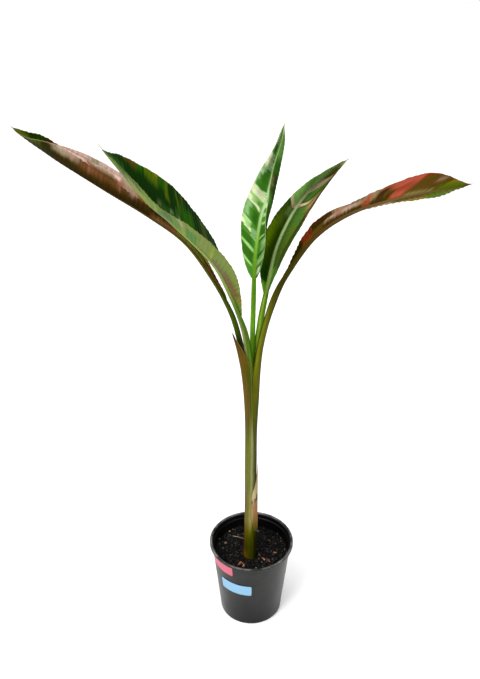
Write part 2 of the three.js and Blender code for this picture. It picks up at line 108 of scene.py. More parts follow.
def along(values, t):
    """The smooth curve through evenly spaced values, at t from 0 to 1.

    Between two values b and c with neighbours a and d it is b, plus half of (c - a) times u, of
    (2a - 5b + 4c - d) times u squared and of (3b - a - 3c + d) times u cubed."""
    v = np.asarray(values, float)
    v = np.concatenate([[2 * v[0] - v[1]], v, [2 * v[-1] - v[-2]]])
    x = np.clip(t, 0.0, 1.0) * (len(v) - 3)
    i = np.minimum(x.astype(int), len(v) - 4)
    u = x - i
    if v.ndim > 1:
        u = u[..., None]
    a, b, c, d = v[i], v[i + 1], v[i + 2], v[i + 3]
    bend = (2 * a - 5 * b + 4 * c - d) * u * u + (3 * b - a - 3 * c + d) * u * u * u
    return b + 0.5 * ((c - a) * u + bend)


def noise(x, y, seed):
    """Gentle heights from -1 to 1: a random value at every whole (x, y), blended smoothly between."""
    size = 64
    values = np.random.default_rng(seed).uniform(-1.0, 1.0, (size, size))
    i, j = np.floor(x).astype(int), np.floor(y).astype(int)
    u, v = smooth(x - i), smooth(y - j)
    near = values[i % size, j % size] * (1 - u) + values[(i + 1) % size, j % size] * u
    far = values[i % size, (j + 1) % size] * (1 - u) + values[(i + 1) % size, (j + 1) % size] * u
    return near * (1 - v) + far * v


def colour(red, green, blue):
    """Screen values of 0 to 255 as linear light: each share s becomes ((s + 0.055) / 1.055) ** 2.4."""
    share = np.array([red, green, blue], float) / 255
    return np.where(share < 0.04045, share / 12.92, ((share + 0.055) / 1.055) ** 2.4)


MIRRORED, PIGMENT_SHARE, DARKEST = 0.003, 0.97, 0.0004


def pigment(screen):
    """The linear colour of a living skin that looks like these screen values.

    Every skin mirrors a little of the pale studio, so its pigment is darker and purer than its look:
    the look's linear light less the mirrored share, times a measure for the light of the room."""
    return np.maximum(colour(*screen) - MIRRORED, DARKEST) * PIGMENT_SHARE


def laid_over(shades, share, over):
    """Colours with others laid over them by a share: the first plus share times the difference."""
    return shades + share[..., None] * (over - shades)


def band(x, low, high, soft, fray=0.0):
    """1 between low and high and 0 outside, by a smooth step as wide as soft at each end.

    A fray widens the band where it is above 0 and narrows it where it is below."""
    return smooth((x - low + fray) / soft + 0.5) * smooth((high - x + fray) / soft + 0.5)


def pigments_along(stops, t):
    """The pigment at t from 0 to 1, on the smooth curve through a list of screen colours."""
    return along(np.array([pigment(stop) for stop in stops]), t)


print("half way along 0, 1, 4:", along([0, 1, 4], np.array(0.5)))

# %% [markdown]
# ## From grids to meshes
#
# A grid of points has its faces in the same order every time, so three helpers are enough. One joins
# a grid's neighbours into quads, one closes a ring-shaped grid with a fan at each end, and one closes
# two grids that lie back to back into a thin body with a rim. Faces run counter-clockwise as seen from
# outside.

# %% Grid helpers


def grid_quads(rows, columns, closed=False):
    """The quads between neighbouring points; closed joins the last column to the first."""
    index = np.arange(rows * columns).reshape(rows, columns)
    if closed:
        index = np.concatenate([index, index[:, :1]], axis=1)
    corners = [index[:-1, :-1], index[:-1, 1:], index[1:, 1:], index[1:, :-1]]
    return np.stack(corners, axis=-1).reshape(-1, 4)


def closed_tube(rings):
    """Points and faces of a tube through rings, with a fan of triangles round a centre at each end."""
    rows, sides = rings.shape[:2]
    first, last = rows * sides, rows * sides + 1
    points = np.concatenate([rings.reshape(-1, 3), [rings[0].mean(axis=0), rings[-1].mean(axis=0)]])
    here = np.arange(sides)
    after = (here + 1) % sides
    top = (rows - 1) * sides
    start = np.stack([after, here, np.full(sides, first)], axis=1)
    end = np.stack([top + here, top + after, np.full(sides, last)], axis=1)
    return points, [grid_quads(rows, sides, closed=True), np.concatenate([start, end])]


def closed_sheet(front, back):
    """Points and faces of a thin body between two grids of the same size, with a rim between them."""
    rows, columns = front.shape[:2]
    count = rows * columns
    quads = grid_quads(rows, columns)
    index = np.arange(count).reshape(rows, columns)
    edge = np.concatenate([index[0, :-1], index[:-1, -1], index[-1, :0:-1], index[:0:-1, 0]])
    ahead = np.roll(edge, -1)
    rim = np.stack([edge + count, ahead + count, ahead, edge], axis=1)
    points = np.concatenate([front.reshape(-1, 3), back.reshape(-1, 3)])
    return points, [np.concatenate([quads, quads[:, ::-1] + count, rim])]


def add_piece(name, points, faces, material, slot, *nodes):
    """A smooth-shaded piece from points in millimetres. It stands for the CAD nodes that are named."""
    sizes = np.concatenate([np.full(len(group), group.shape[1]) for group in faces])
    corners = np.concatenate([group.ravel() for group in faces])
    mesh = bpy.data.meshes.new(name)
    mesh.vertices.add(len(points))
    mesh.vertices.foreach_set("co", (points * MM).astype(np.float32).ravel())
    mesh.loops.add(len(corners))
    mesh.loops.foreach_set("vertex_index", corners.astype(np.int32))
    mesh.polygons.add(len(sizes))
    mesh.polygons.foreach_set("loop_start", (np.cumsum(sizes) - sizes).astype(np.int32))
    mesh.update(calc_edges=True)
    mesh.shade_smooth()
    mesh.materials.append(material)
    piece = bpy.data.objects.new(name, mesh)
    scene.collection.objects.link(piece)
    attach(piece, "root")
    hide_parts(*nodes)
    print(f"{name}: {len(points)} points, {len(sizes)} faces")
    return piece


def give(piece, name, values):
    """Stores a value per point for the material: one number, or three as a colour or a vector."""
    kind, key = {1: ("FLOAT", "value"), 3: ("FLOAT_VECTOR", "vector")}[np.atleast_2d(values.T).shape[0]]
    data = piece.data.attributes.new(name, kind, "POINT").data
    data.foreach_set(key, values.astype(np.float32).ravel())


# %% [markdown]
# ## A few words for materials
#
# A finish is a small network of nodes that ends in one shader. Built by hand each one takes dozens of
# lines, so this cell gives the usual steps short names: read an attribute, make a noise, turn a number
# into a colour, turn a height into a bump. Values that are the same all over a surface are set on the
# shader itself.

# %% Material helpers


class Finish:
    """A material in the making: its node tree and its shader, with the steps that every finish uses."""

    def __init__(self, name, **shader_values):
        self.material = bpy.data.materials.new(name)
        self.material.use_nodes = True
        self.tree = self.material.node_tree
        self.shader = self.tree.nodes["Principled BSDF"]
        for socket, value in shader_values.items():
            self.shader.inputs[socket.replace("_", " ")].default_value = value

    def node(self, kind, **inputs):
        """A node of a kind. An input is a number, a colour or another node's output."""
        made = self.tree.nodes.new("ShaderNode" + kind)
        for socket, value in inputs.items():
            self.put(value, made.inputs[socket.replace("_", " ")])
        return made

    def put(self, value, socket):
        if isinstance(value, bpy.types.NodeSocket):
            self.tree.links.new(value, socket)
        else:
            socket.default_value = value

    def attribute(self, name):
        made = self.node("Attribute")
        made.attribute_name = name
        return made

    def place(self):
        """The piece's own coordinates, in metres."""
        return self.node("TexCoord").outputs["Object"]

    def stretched(self, vector, scale):
        """A vector multiplied by a scale along each axis."""
        made = self.node("Mapping", Vector=vector)
        made.inputs["Scale"].default_value = scale
        return made.outputs["Vector"]

    def noise(self, vector, scale, detail=3.0, roughness=0.5):
        made = self.node("TexNoise", Vector=vector, Scale=scale, Detail=detail, Roughness=roughness)
        return made.outputs["Fac"]

    def drawn_out(self, vector, scale, detail, roughness=0.5):
        """A noise whose scale differs from axis to axis, so that it runs in streaks."""
        return self.noise(self.stretched(vector, scale), 1.0, detail, roughness)

    def math(self, operation, first, second):
        made = self.node("Math")
        made.operation = operation
        self.put(first, made.inputs[0])
        self.put(second, made.inputs[1])
        return made.outputs[0]

    def between(self, value, low, high, to_low=0.0, to_high=1.0):
        """The value's way from low to high, as a number from to_low to to_high."""
        made = self.node("MapRange", Value=value)
        ends = {"From Min": low, "From Max": high, "To Min": to_low, "To Max": to_high}
        for socket, number in ends.items():
            made.inputs[socket].default_value = number
        return made.outputs["Result"]

    def ramp(self, value, stops):
        """A colour that depends on a number, from (number, (red, green, blue)) stops."""
        made = self.node("ValToRGB", Fac=value)
        elements = made.color_ramp.elements
        while len(elements) < len(stops):
            elements.new(1.0)
        for element, (position, screen) in zip(elements, stops):
            element.position = position
            element.color = (*colour(*screen), 1.0)
        return made.outputs["Color"]

    def blend(self, share, first, second, kind="MIX"):
        """Two colours mixed, or multiplied, by a share."""
        made = self.node("Mix")
        made.data_type = "RGBA"
        made.blend_type = kind
        self.put(share, made.inputs["Factor"])
        self.put(first, made.inputs[6])
        self.put(second, made.inputs[7])
        return made.outputs[2]

    def shaded(self, paint, light):
        """A colour made lighter or darker by a number."""
        shade = self.node("CombineColor", Red=light, Green=light, Blue=light).outputs["Color"]
        return self.blend(1.0, paint, shade, "MULTIPLY")

    def colour(self, value):
        self.put(value, self.shader.inputs["Base Color"])

    def roughness(self, value):
        self.put(value, self.shader.inputs["Roughness"])

    def relief(self, height, depth):
        """A bump from a height of 0 to 1, as deep as the given millimetres."""
        made = self.node("Bump", Height=height)
        made.inputs["Strength"].default_value = 1.0
        made.inputs["Distance"].default_value = depth * MM
        self.put(made.outputs["Normal"], self.shader.inputs["Normal"])


print("finishes end in one Principled shader each")

# %% [markdown]
# ## The nursery pot
#
# Nursery pots are blow-moulded or injection-moulded in black polypropylene: a thin tapered wall, a
# rolled rim to carry them by, a step inside so that empty pots stack without jamming, and drain holes
# in the base. A cylinder with modifiers could be pushed into this shape, but the pot is a turned
# body, so its outline says everything. The outline's corners are rounded by short curves, and the
# outline is then carried round the axis.

# %% Pot outline
POT = {"height": 146, "base": 52, "mouth": 65.4, "rim": 70, "rim_depth": 5, "wall": 1.6, "floor": 2}
COLLAR_WALL = 0.9  # the wall above the stacking step
STEP = POT["height"] - 9


def wall_radius(z):
    """The outside of the wall: a straight line from the base up to the mouth under the rim."""
    return POT["base"] + (POT["mouth"] - POT["base"]) * z / (POT["height"] - POT["rim_depth"])


def rounded(corners, cuts, steps=7):
    """An outline with soft corners.

    Each inner corner gives way to the curve (1 - u)^2 before + 2u(1 - u) corner + u^2 after, where
    before and after lie a cut's length away from it, or half way to the next corner if that is nearer."""
    corners = np.asarray(corners, float)
    middle = corners[1:-1]

    def towards(other):
        gap = other - middle
        length = np.linalg.norm(gap, axis=1, keepdims=True)
        return middle + gap * np.minimum(np.asarray(cuts)[:, None] / length, 0.5)

    before, after = towards(corners[:-2])[:, None], towards(corners[2:])[:, None]
    u = np.linspace(0, 1, steps)[None, :, None]
    curves = (1 - u) ** 2 * before + 2 * u * (1 - u) * middle[:, None] + u**2 * after
    return np.concatenate([corners[:1], curves.reshape(-1, 2), corners[-1:]])


rim, under_rim = POT["height"], POT["height"] - POT["rim_depth"]
pot_corners = [
    (6, 0.0), (POT["base"] - 0.4, 0.0), (POT["mouth"], under_rim), (POT["rim"] - 0.5, under_rim + 0.2),
    (POT["rim"], rim - 0.2), (POT["mouth"] + 1.2, rim + 0.1), (POT["mouth"] - COLLAR_WALL, rim - 2.2),
    (wall_radius(STEP) - COLLAR_WALL, STEP), (wall_radius(STEP) - POT["wall"] - 0.6, STEP - 0.7),
    (wall_radius(POT["floor"]) - POT["wall"], POT["floor"]), (6, POT["floor"]),
]
pot_cuts = [2.2, 0.5, 1.6, 2.2, 2.2, 1.6, 0.5, 0.5, 3.0]
outline = rounded(pot_corners, pot_cuts)
print("pot outline:", len(outline), "points, rim radius", outline[:, 0].max())

# %% [markdown]
# The plastic is black with a satin skin: not a mirror, but clear enough to hold a soft streak of each
# lamp. Real ones carry a bloom of dust, so a slow noise moves the roughness and lifts the colour a
# little, and a fine one pits the surface. The upper wall is painted paler, and the foot and the inside
# keep the plain black as painted shade. The top of the rim has a painted highlight in patches. Both
# are places on the pot: a height, and for the inside a radius.

# %% Black plastic
FOOT_SHADE_HEIGHTS = (0.01, 0.09)  # metres up the wall, where the painted shade at the foot begins to fade and where the paler upper wall is full
RIM_HIGHLIGHT_HEIGHTS = (0.1446, 0.1458)  # metres up the rim, in the same way for the painted highlight on its top
INSIDE_SHADE_DEPTHS = (0.0003, 0.001)  # metres in from the outside, where the painted shade of the inside begins and where it is full

plastic = Finish("black_plastic", Roughness=0.34, Specular_IOR_Level=0.13)
dust = plastic.noise(plastic.place(), 26.0, 5.0, 0.6)
pores = plastic.noise(plastic.place(), 900.0, 2.0)
axes = plastic.node("SeparateXYZ", Vector=plastic.place())
height = axes.outputs["Z"]
x_squared = plastic.math("POWER", axes.outputs["X"], 2.0)
across = plastic.math("ADD", x_squared, plastic.math("POWER", axes.outputs["Y"], 2.0))
wall_here = plastic.between(height, 0.0, under_rim * MM, POT["base"] * MM, POT["mouth"] * MM)
inside = plastic.math("SUBTRACT", wall_here, plastic.math("POWER", across, 0.5))
# painted light and shade: the wall is painted paler up high, and the foot and the inside keep the plain
# black as painted shade
paler_upper_wall = plastic.ramp(dust, [(0.35, (26, 26, 25)), (0.65, (42, 42, 41))])
plain_black = plastic.ramp(dust, [(0.35, (4, 4, 4)), (0.65, (8, 8, 8))])
shade = plastic.blend(plastic.between(height, *FOOT_SHADE_HEIGHTS), plain_black, paler_upper_wall)
shade = plastic.blend(plastic.between(inside, *INSIDE_SHADE_DEPTHS), shade, plain_black)
# a painted highlight in patches along the top of the rim
highlight_patches = plastic.between(plastic.noise(plastic.place(), 60.0, 4.0), 0.4, 0.6)
rim_highlight = plastic.math("MULTIPLY", plastic.between(height, *RIM_HIGHLIGHT_HEIGHTS), highlight_patches)
rim_highlight_colour = plastic.ramp(dust, [(0.35, (76, 76, 74)), (0.65, (112, 111, 108))])
plastic.colour(plastic.blend(rim_highlight, shade, rim_highlight_colour))
plastic.roughness(plastic.between(dust, 0.3, 0.7, 0.28, 0.42))
plastic.relief(pores, 0.03)

# %% [markdown]
# The eight drain holes are cut with one Boolean, the quickest way to put round holes in a flat
# floor. The result is applied, so the finished mesh holds no live modifier.

# %% Turn the pot and cut the holes
POT_SIDES = 192
HOLES, HOLE_RADIUS, HOLE_CIRCLE, HOLE_SIDES = 8, 4, 40, 32
SHARPEST = 50  # degrees between two faces of the pot, above which their edge stays sharp


def turned_rings(profile, sides, centre=(0.0, 0.0)):
    """Rings of a turned body: radius times cosine and sine of the angle, at the profile's height."""
    angle = np.linspace(0, 2 * np.pi, sides, endpoint=False)
    radius, height = np.asarray(profile, float).T[:, :, None]
    rings = [radius * np.cos(angle) + centre[0], radius * np.sin(angle) + centre[1], height + 0 * angle]
    return np.stack(rings, axis=-1)


def drain_cutters():
    """Eight short cylinders in one mesh, each one a tube with its own closed ends."""
    turn = 2 * np.pi * (np.arange(HOLES) + 0.5) / HOLES
    points, quads, ends = [], [], []
    for x, y in HOLE_CIRCLE * np.stack([np.cos(turn), np.sin(turn)], axis=1):
        rings = turned_rings([(HOLE_RADIUS, -1), (HOLE_RADIUS, POT["floor"] + 1)], HOLE_SIDES)
        here, faces = closed_tube(rings + [x, y, 0])
        base = sum(len(p) for p in points)
        points.append(here)
        quads.append(faces[0] + base)
        ends.append(faces[1] + base)
    return np.concatenate(points), [np.concatenate(quads), np.concatenate(ends)]


def cut_away(piece, points, faces):
    """Cuts a body out of a piece and keeps the result as the piece's own mesh."""
    cutter = add_piece("cutter", points, faces, plastic.material, "pot_plastic")
    modifier = piece.modifiers.new("cut", "BOOLEAN")
    modifier.operation = "DIFFERENCE"
    modifier.solver = "EXACT"
    modifier.object = cutter
    depsgraph = bpy.context.evaluated_depsgraph_get()
    cut = bpy.data.meshes.new_from_object(piece.evaluated_get(depsgraph))
    piece.modifiers.clear()
    piece.data = cut
    bpy.data.objects.remove(cutter)


pot_points, pot_faces = closed_tube(turned_rings(outline, POT_SIDES))
pot = add_piece("pot_shell", pot_points, pot_faces, plastic.material, "pot_plastic", "pot")
cut_away(pot, *drain_cutters())
pot.data.set_sharp_from_angle(angle=math.radians(SHARPEST))
print("pot with", HOLES, "drain holes:", len(pot.data.polygons), "faces")

# %% [markdown]
# ## The labels
#
# Two adhesive labels follow the wall: a pink one close under the rim and a pale blue one lower down.
# They carry no print here. A plane with a Shrinkwrap would do, but the wall is a cone whose radius is
# known at each height, so the labels are grids on that cone, 0.4 mm thick, with their corners
# rounded by drawing the height in towards each end.

# %% Labels
LABEL_LIFT, LABEL_THICKNESS, LABEL_CORNER = 0.3, 0.4, 2.5
LABEL_COLUMNS, LABEL_ROWS = 61, 13
FIBRE_SHADE = 0.94  # a fibre's colour as a share of the paper's


def label_surface(start, end, low, high, lift):
    """Rows across a label and columns up it, on the cone at the given lift.

    start and end are degrees from the front towards the left. Within a corner's length of an end the
    half height loses the corner less the square root of corner squared less (corner - x) squared."""
    across = (1 - np.cos(np.linspace(0, np.pi, LABEL_COLUMNS))) / 2
    up = np.linspace(-1, 1, LABEL_ROWS)
    middle, half = (low + high) / 2, (high - low) / 2
    width = math.radians(end - start) * wall_radius(middle)
    inward = np.minimum(across, 1 - across) * width
    missing = np.maximum(LABEL_CORNER - inward, 0)
    drawn = half - LABEL_CORNER + np.sqrt(LABEL_CORNER**2 - missing**2)
    z = middle + drawn[:, None] * up[None, :]
    angle = np.radians(-90 - (start + (end - start) * across))[:, None]
    radius = wall_radius(z) + lift
    return np.stack([radius * np.cos(angle), radius * np.sin(angle), z], axis=-1)


def label_paper(name, screen):
    """Coated paper: an almost even colour, a soft gloss and the faintest fibre."""
    paper = Finish(name, Roughness=0.5)
    fibre = paper.noise(paper.place(), 380.0, 4.0)
    darker = tuple(round(FIBRE_SHADE * value) for value in screen)
    paper.colour(paper.ramp(fibre, [(0.3, darker), (0.7, screen)]))
    paper.relief(fibre, 0.02)
    return paper.material


LABELS = {  # first and last degree, lowest and highest millimetre; colour; slot
    "label_pink": ((29, 75, 118, 138), (194, 82, 106), "pink_label"),
    "label_blue": ((0, 52, 77.5, 100), (124, 172, 204), "blue_label"),
}
for name, (place, screen, slot) in LABELS.items():
    front = label_surface(*place, LABEL_LIFT + LABEL_THICKNESS)
    back = label_surface(*place, LABEL_LIFT)
    points, faces = closed_sheet(front, back)
    add_piece(name + "_paper", points, faces, label_paper(name + "_finish", screen), slot, name)

# %% [markdown]
# ## The potting mix
#
# Fresh potting mix is dark, damp and crumbly: a ground of peat with crumbs of every size on it, chips
# of composted bark, and a few pale grains. A displaced plane alone looks like a carpet, and thousands
# of simulated grains would be heavy. So the ground is one closed body, lumpy at its surface, and a
# few thousand small crumbs of twenty faces each lie on it.

# %% Ground
SOIL_LEVEL, SOIL_RELIEF, SOIL_DIP = 121, 1.6, 2.5
TRUNK_X, TRUNK_Y = -1.4, -6  # the trunk stands a little forward of the pot's axis
TRUNK_GAP = 11.9  # radius of the hole that the trunk stands in
LUMP_HEIGHT, LUMPS = 0.9, [(6, 1.0), (2.6, 0.7), (1.3, 0.4)]  # of each, length and share of the height
GROUND_RINGS, GROUND_SIDES = 110, 300
SIDE = [(2.4, 3.2), (100, 2.6)]  # height and gap to the wall's outside, at the side's foot and top
UNDER_RADIUS = 4  # the underside's innermost ring
# radius and height, down the hole for the trunk and round the corm
BED = [(13, 100), (13, 88.5), (17.7, 82), (19.6, 72.7), (16.8, 63.2), (8.8, 57.1), (2, 57.1)]


def soil_height(x, y):
    """Low ripples that run across each other and a dip towards the trunk, as in the CAD model."""
    ripples = np.sin(x * 0.13 + 1) * np.cos(y * 0.11) + 0.6 * np.sin(x * 0.29 - y * 0.21)
    ripples = ripples + 0.4 * np.cos(y * 0.37 + x * 0.09)
    near = np.exp(-((x - TRUNK_X) ** 2 + (y - TRUNK_Y) ** 2) / 26**2)
    return SOIL_LEVEL + SOIL_RELIEF / 2 * ripples - SOIL_DIP * near


def lumps(x, y):
    """What the ripples leave out: lumps of three lengths, each lower than the last."""
    layers = [share * noise(x / long, y / long, seed) for seed, (long, share) in enumerate(LUMPS, 1)]
    return LUMP_HEIGHT * sum(layers)


ground_edge = wall_radius(SOIL_LEVEL) - POT["wall"] - 0.2
top_radius = np.linspace(ground_edge, TRUNK_GAP, GROUND_RINGS)
angle = np.linspace(0, 2 * np.pi, GROUND_SIDES, endpoint=False)
towards_trunk = (ground_edge - top_radius[:, None]) / (ground_edge - TRUNK_GAP)
x = top_radius[:, None] * np.cos(angle) + TRUNK_X * towards_trunk
y = top_radius[:, None] * np.sin(angle) + TRUNK_Y * towards_trunk
ground = np.stack([x, y, soil_height(x, y) + lumps(x, y)], axis=-1)
side = [(UNDER_RADIUS, SIDE[0][0])] + [(wall_radius(height) - gap, height) for height, gap in SIDE]
skirt = turned_rings(side, GROUND_SIDES)
well = turned_rings(BED, GROUND_SIDES, (TRUNK_X, TRUNK_Y))
rings = np.concatenate([skirt, ground, well])
print("ground reaches from", round(TRUNK_GAP, 1), "to", round(ground_edge, 1), "mm")

# %% [markdown]
# The mix is nearly black where it is damp and warm brown where a fibre catches the light. A colour
# ramp over two noises of different size gives that, and the coarse one also drives the bump.

# %% Potting mix finish
mix = Finish("potting_mix", Roughness=0.9, Specular_IOR_Level=0.08)
coarse = mix.noise(mix.place(), 260.0, 6.0, 0.65)
fine = mix.noise(mix.place(), 1500.0, 3.0)
crumbly = mix.math("ADD", mix.math("MULTIPLY", coarse, 0.7), mix.math("MULTIPLY", fine, 0.3))
mix.colour(mix.ramp(crumbly, [(0.36, (2, 2, 2)), (0.55, (6, 5, 5)), (0.72, (20, 17, 14))]))
mix.relief(crumbly, 0.8)
points, faces = closed_tube(rings)
add_piece("potting_ground", points, faces, mix.material, "potting_mix", "soil")

# %% [markdown]
# A crumb is an icosahedron, the roundest body that twenty triangles make, with its corners pushed in
# and out. All crumbs are computed at once: one array of random turns, one of sizes, one of places.
# Each crumb keeps a shade of its own as an attribute, so one material colours them all.

# %% Crumbs
CRUMBS = 3200
SMALLEST, LARGEST = 0.4, 2.8  # radius of a crumb in millimetres
CRUMB_SINK, GRAIN_SINK, FLAT = 0.45, 0.3, 0.75  # shares: how deep they lie, and height beside width
GOLDEN = (1 + math.sqrt(5)) / 2
ICO_POINTS = np.array([
    (-1, GOLDEN, 0), (1, GOLDEN, 0), (-1, -GOLDEN, 0), (1, -GOLDEN, 0),
    (0, -1, GOLDEN), (0, 1, GOLDEN), (0, -1, -GOLDEN), (0, 1, -GOLDEN),
    (GOLDEN, 0, -1), (GOLDEN, 0, 1), (-GOLDEN, 0, -1), (-GOLDEN, 0, 1),
]) / math.sqrt(1 + GOLDEN**2)
ICO_FACES = np.array([
    (0, 11, 5), (0, 5, 1), (0, 1, 7), (0, 7, 10), (0, 10, 11),
    (1, 5, 9), (5, 11, 4), (11, 10, 2), (10, 7, 6), (7, 1, 8),
    (3, 9, 4), (3, 4, 2), (3, 2, 6), (3, 6, 8), (3, 8, 9),
    (4, 9, 5), (2, 4, 11), (6, 2, 10), (8, 6, 7), (9, 8, 1),
])


def random_turns(random, count):
    """Rotation matrices from random unit quaternions (w, x, y, z)."""
    q = random.normal(size=(count, 4))
    w, x, y, z = (q / np.linalg.norm(q, axis=1, keepdims=True)).T
    rows = [
        [1 - 2 * (y * y + z * z), 2 * (x * y - z * w), 2 * (x * z + y * w)],
        [2 * (x * y + z * w), 1 - 2 * (x * x + z * z), 2 * (y * z - x * w)],
        [2 * (x * z - y * w), 2 * (y * z + x * w), 1 - 2 * (x * x + y * y)],
    ]
    return np.moveaxis(np.array(rows), -1, 0)


def scattered(random, count, margin):
    """Random places on the ground, even over its area, clear of the wall and the trunk by a margin."""
    radius = np.sqrt(random.uniform(TRUNK_GAP**2, ground_edge**2, count))
    turn = random.uniform(0, 2 * np.pi, count)
    towards_trunk = (ground_edge - radius) / (ground_edge - TRUNK_GAP)
    radius = np.clip(radius, TRUNK_GAP + margin, ground_edge - margin)
    x = radius * np.cos(turn) + TRUNK_X * towards_trunk
    y = radius * np.sin(turn) + TRUNK_Y * towards_trunk
    return x, y


def crumbs(random, size, x, y, sink):
    """Crumbs of the given sizes: turned, flattened icosahedra, each sunk by a share of its size."""
    bumpy = ICO_POINTS * random.uniform(0.7, 1.25, (len(size), len(ICO_POINTS), 1))
    shaped = np.einsum("nij,nkj->nki", random_turns(random, len(size)), bumpy)
    shaped = shaped * size[:, None, None] * np.array([1, 1, FLAT])
    height = soil_height(x, y) + lumps(x, y) + size * (FLAT - sink)
    points = shaped + np.stack([x, y, height], axis=-1)[:, None, :]
    faces = ICO_FACES[None] + len(ICO_POINTS) * np.arange(len(size))[:, None, None]
    return points.reshape(-1, 3), [faces.reshape(-1, 3)]


random = np.random.default_rng(11)
size = np.clip(random.lognormal(-0.25, 0.45, CRUMBS), SMALLEST, LARGEST)
x, y = scattered(random, CRUMBS, 1.6)
points, faces = crumbs(random, size, x, y, CRUMB_SINK)
shade = np.repeat(random.uniform(0, 1, CRUMBS) ** 2, len(ICO_POINTS))

crumb_finish = Finish("crumb_skin", Roughness=0.5, Specular_IOR_Level=0.2)
tone = crumb_finish.attribute("shade").outputs["Fac"]
grit = crumb_finish.noise(crumb_finish.place(), 900.0, 3.0)
mottled = crumb_finish.math("ADD", tone, crumb_finish.between(grit, 0.3, 0.7, -0.08, 0.08))
crumb_finish.colour(crumb_finish.ramp(mottled, [
    (0.0, (2, 2, 2)), (0.6, (6, 5, 5)), (0.84, (20, 17, 15)), (0.94, (66, 58, 50)), (1.0, (128, 112, 98)),
]))
crumb_finish.relief(grit, 0.2)
peat = add_piece("peat_crumbs", points, faces, crumb_finish.material, "potting_mix", "soil")
give(peat, "shade", shade)

# %% [markdown]
# Bark chips are slabs that split along the grain: longer than wide, thin, with a ragged outline and
# a brown face that turns orange or pink where it split last. Each chip is a ring of nine points at
# four levels, so it costs about fifty faces. The fresh ones have a place, a length and a warmth of
# their own, and the rest are dark and fall at random.

# %% Bark chips
CHIPS, CHIP_SIDES = 46, 9
CHIP_WIDTHS, CHIP_HEIGHTS = [0.72, 1.0, 0.96, 0.66], [-0.5, -0.25, 0.3, 0.5]  # at each level
CHIP_LIFT = 0.7  # how high a chip lies on the crumbs
FRESH_CHIPS = np.array([  # x, y, length and warmth from 0 to 1
    (-19, -31, 9, 0.8), (-13, -35, 8, 0.95), (-15.5, -31, 6, 0.7), (12.8, -9, 5.5, 0.75),
    (21, -20, 6.5, 0.9), (28, -24, 7, 0.6), (31, -33, 5, 0.45), (40, -6, 7.5, 0.7), (37, -9, 5, 0.5),
    (51, 22, 4.5, 0.75), (-26, 15, 5, 0.35), (-40, -12, 4, 0.3), (4, 40, 5, 0.4), (-30, -38, 5, 0.3),
])


def bark(random, x, y, length):
    """Slabs along a random direction: an uneven ellipse at each level, drawn in at the top and bottom."""
    count = len(x)
    angle = np.linspace(0, 2 * np.pi, CHIP_SIDES, endpoint=False)
    ragged = random.uniform(0.72, 1.2, (count, 1, CHIP_SIDES))
    draw = np.array(CHIP_WIDTHS)[None, :, None] * ragged
    wide = length * random.uniform(0.3, 0.55, count)
    thick = length * random.uniform(0.14, 0.26, count)
    level = np.array(CHIP_HEIGHTS)[None, :, None] * thick[:, None, None]
    shape = np.stack([
        draw * np.cos(angle) * length[:, None, None] / 2,
        draw * np.sin(angle) * wide[:, None, None] / 2,
        level + random.uniform(-0.06, 0.06, (count, 1, CHIP_SIDES)) * thick[:, None, None],
    ], axis=-1)
    lean = random.normal(0, 0.16, (count, 2))
    shape[..., 2] += shape[..., 0] * lean[:, None, None, 0] + shape[..., 1] * lean[:, None, None, 1]
    turn = random.uniform(0, np.pi, count)[:, None, None]
    along_x = shape[..., 0] * np.cos(turn) - shape[..., 1] * np.sin(turn)
    along_y = shape[..., 0] * np.sin(turn) + shape[..., 1] * np.cos(turn)
    rest = soil_height(x, y) + CHIP_LIFT + 0.2 * thick
    middle = np.stack([x, y, rest], axis=-1)[:, None, None, :]
    return np.stack([along_x, along_y, shape[..., 2]], axis=-1) + middle


def many_tubes(rings):
    """Points and faces of many small tubes of the same kind, each closed by a fan at both ends."""
    count = len(rings)
    one_points, (one_quads, one_ends) = closed_tube(rings[0])
    ends = rings[:, [0, -1]].mean(axis=2)
    points = np.concatenate([rings.reshape(count, -1, 3), ends], axis=1).reshape(-1, 3)
    step = len(one_points) * np.arange(count)[:, None, None]
    return points, [(one_quads + step).reshape(-1, 4), (one_ends + step).reshape(-1, 3)]


random = np.random.default_rng(5)
x, y = scattered(random, CHIPS, 6)
length = random.uniform(3.5, 8, CHIPS)
warmth = random.uniform(0, 0.28, CHIPS)
fresh = slice(0, len(FRESH_CHIPS))
x[fresh], y[fresh], length[fresh], warmth[fresh] = FRESH_CHIPS.T
points, faces = many_tubes(bark(random, x, y, length))
warm = np.repeat(warmth, len(points) // CHIPS)

bark_finish = Finish("bark", Roughness=0.7, Specular_IOR_Level=0.25)
warmth = bark_finish.attribute("warmth").outputs["Fac"]
grain = bark_finish.noise(bark_finish.stretched(bark_finish.place(), (1, 0.25, 1)), 520.0, 4.0)
aged = bark_finish.math("ADD", warmth, bark_finish.between(grain, 0.3, 0.7, -0.2, 0.2))
bark_finish.colour(bark_finish.ramp(aged, [
    (0.0, (12, 10, 9)), (0.3, (34, 25, 20)), (0.65, (104, 62, 44)), (0.85, (150, 88, 62)),
    (1.0, (176, 122, 98)),
]))
bark_finish.relief(grain, 0.4)
chips = add_piece("bark_chips", points, faces, bark_finish.material, "potting_mix", "soil")
give(chips, "warmth", warm)

# %% [markdown]
# Last, a few pale grains of grit, and one thin dead root that has washed out on the left. The root is
# a small tube along a curve that rests on the ground.

# %% Pale grains and a root
GRAINS = 30
LARGE_GRAINS = np.array([  # x, y and radius
    (-37, 46, 1.6), (36, 46, 1.1), (7.5, -40, 1.1), (-32, 52, 0.9), (46, 40, 0.9),
])

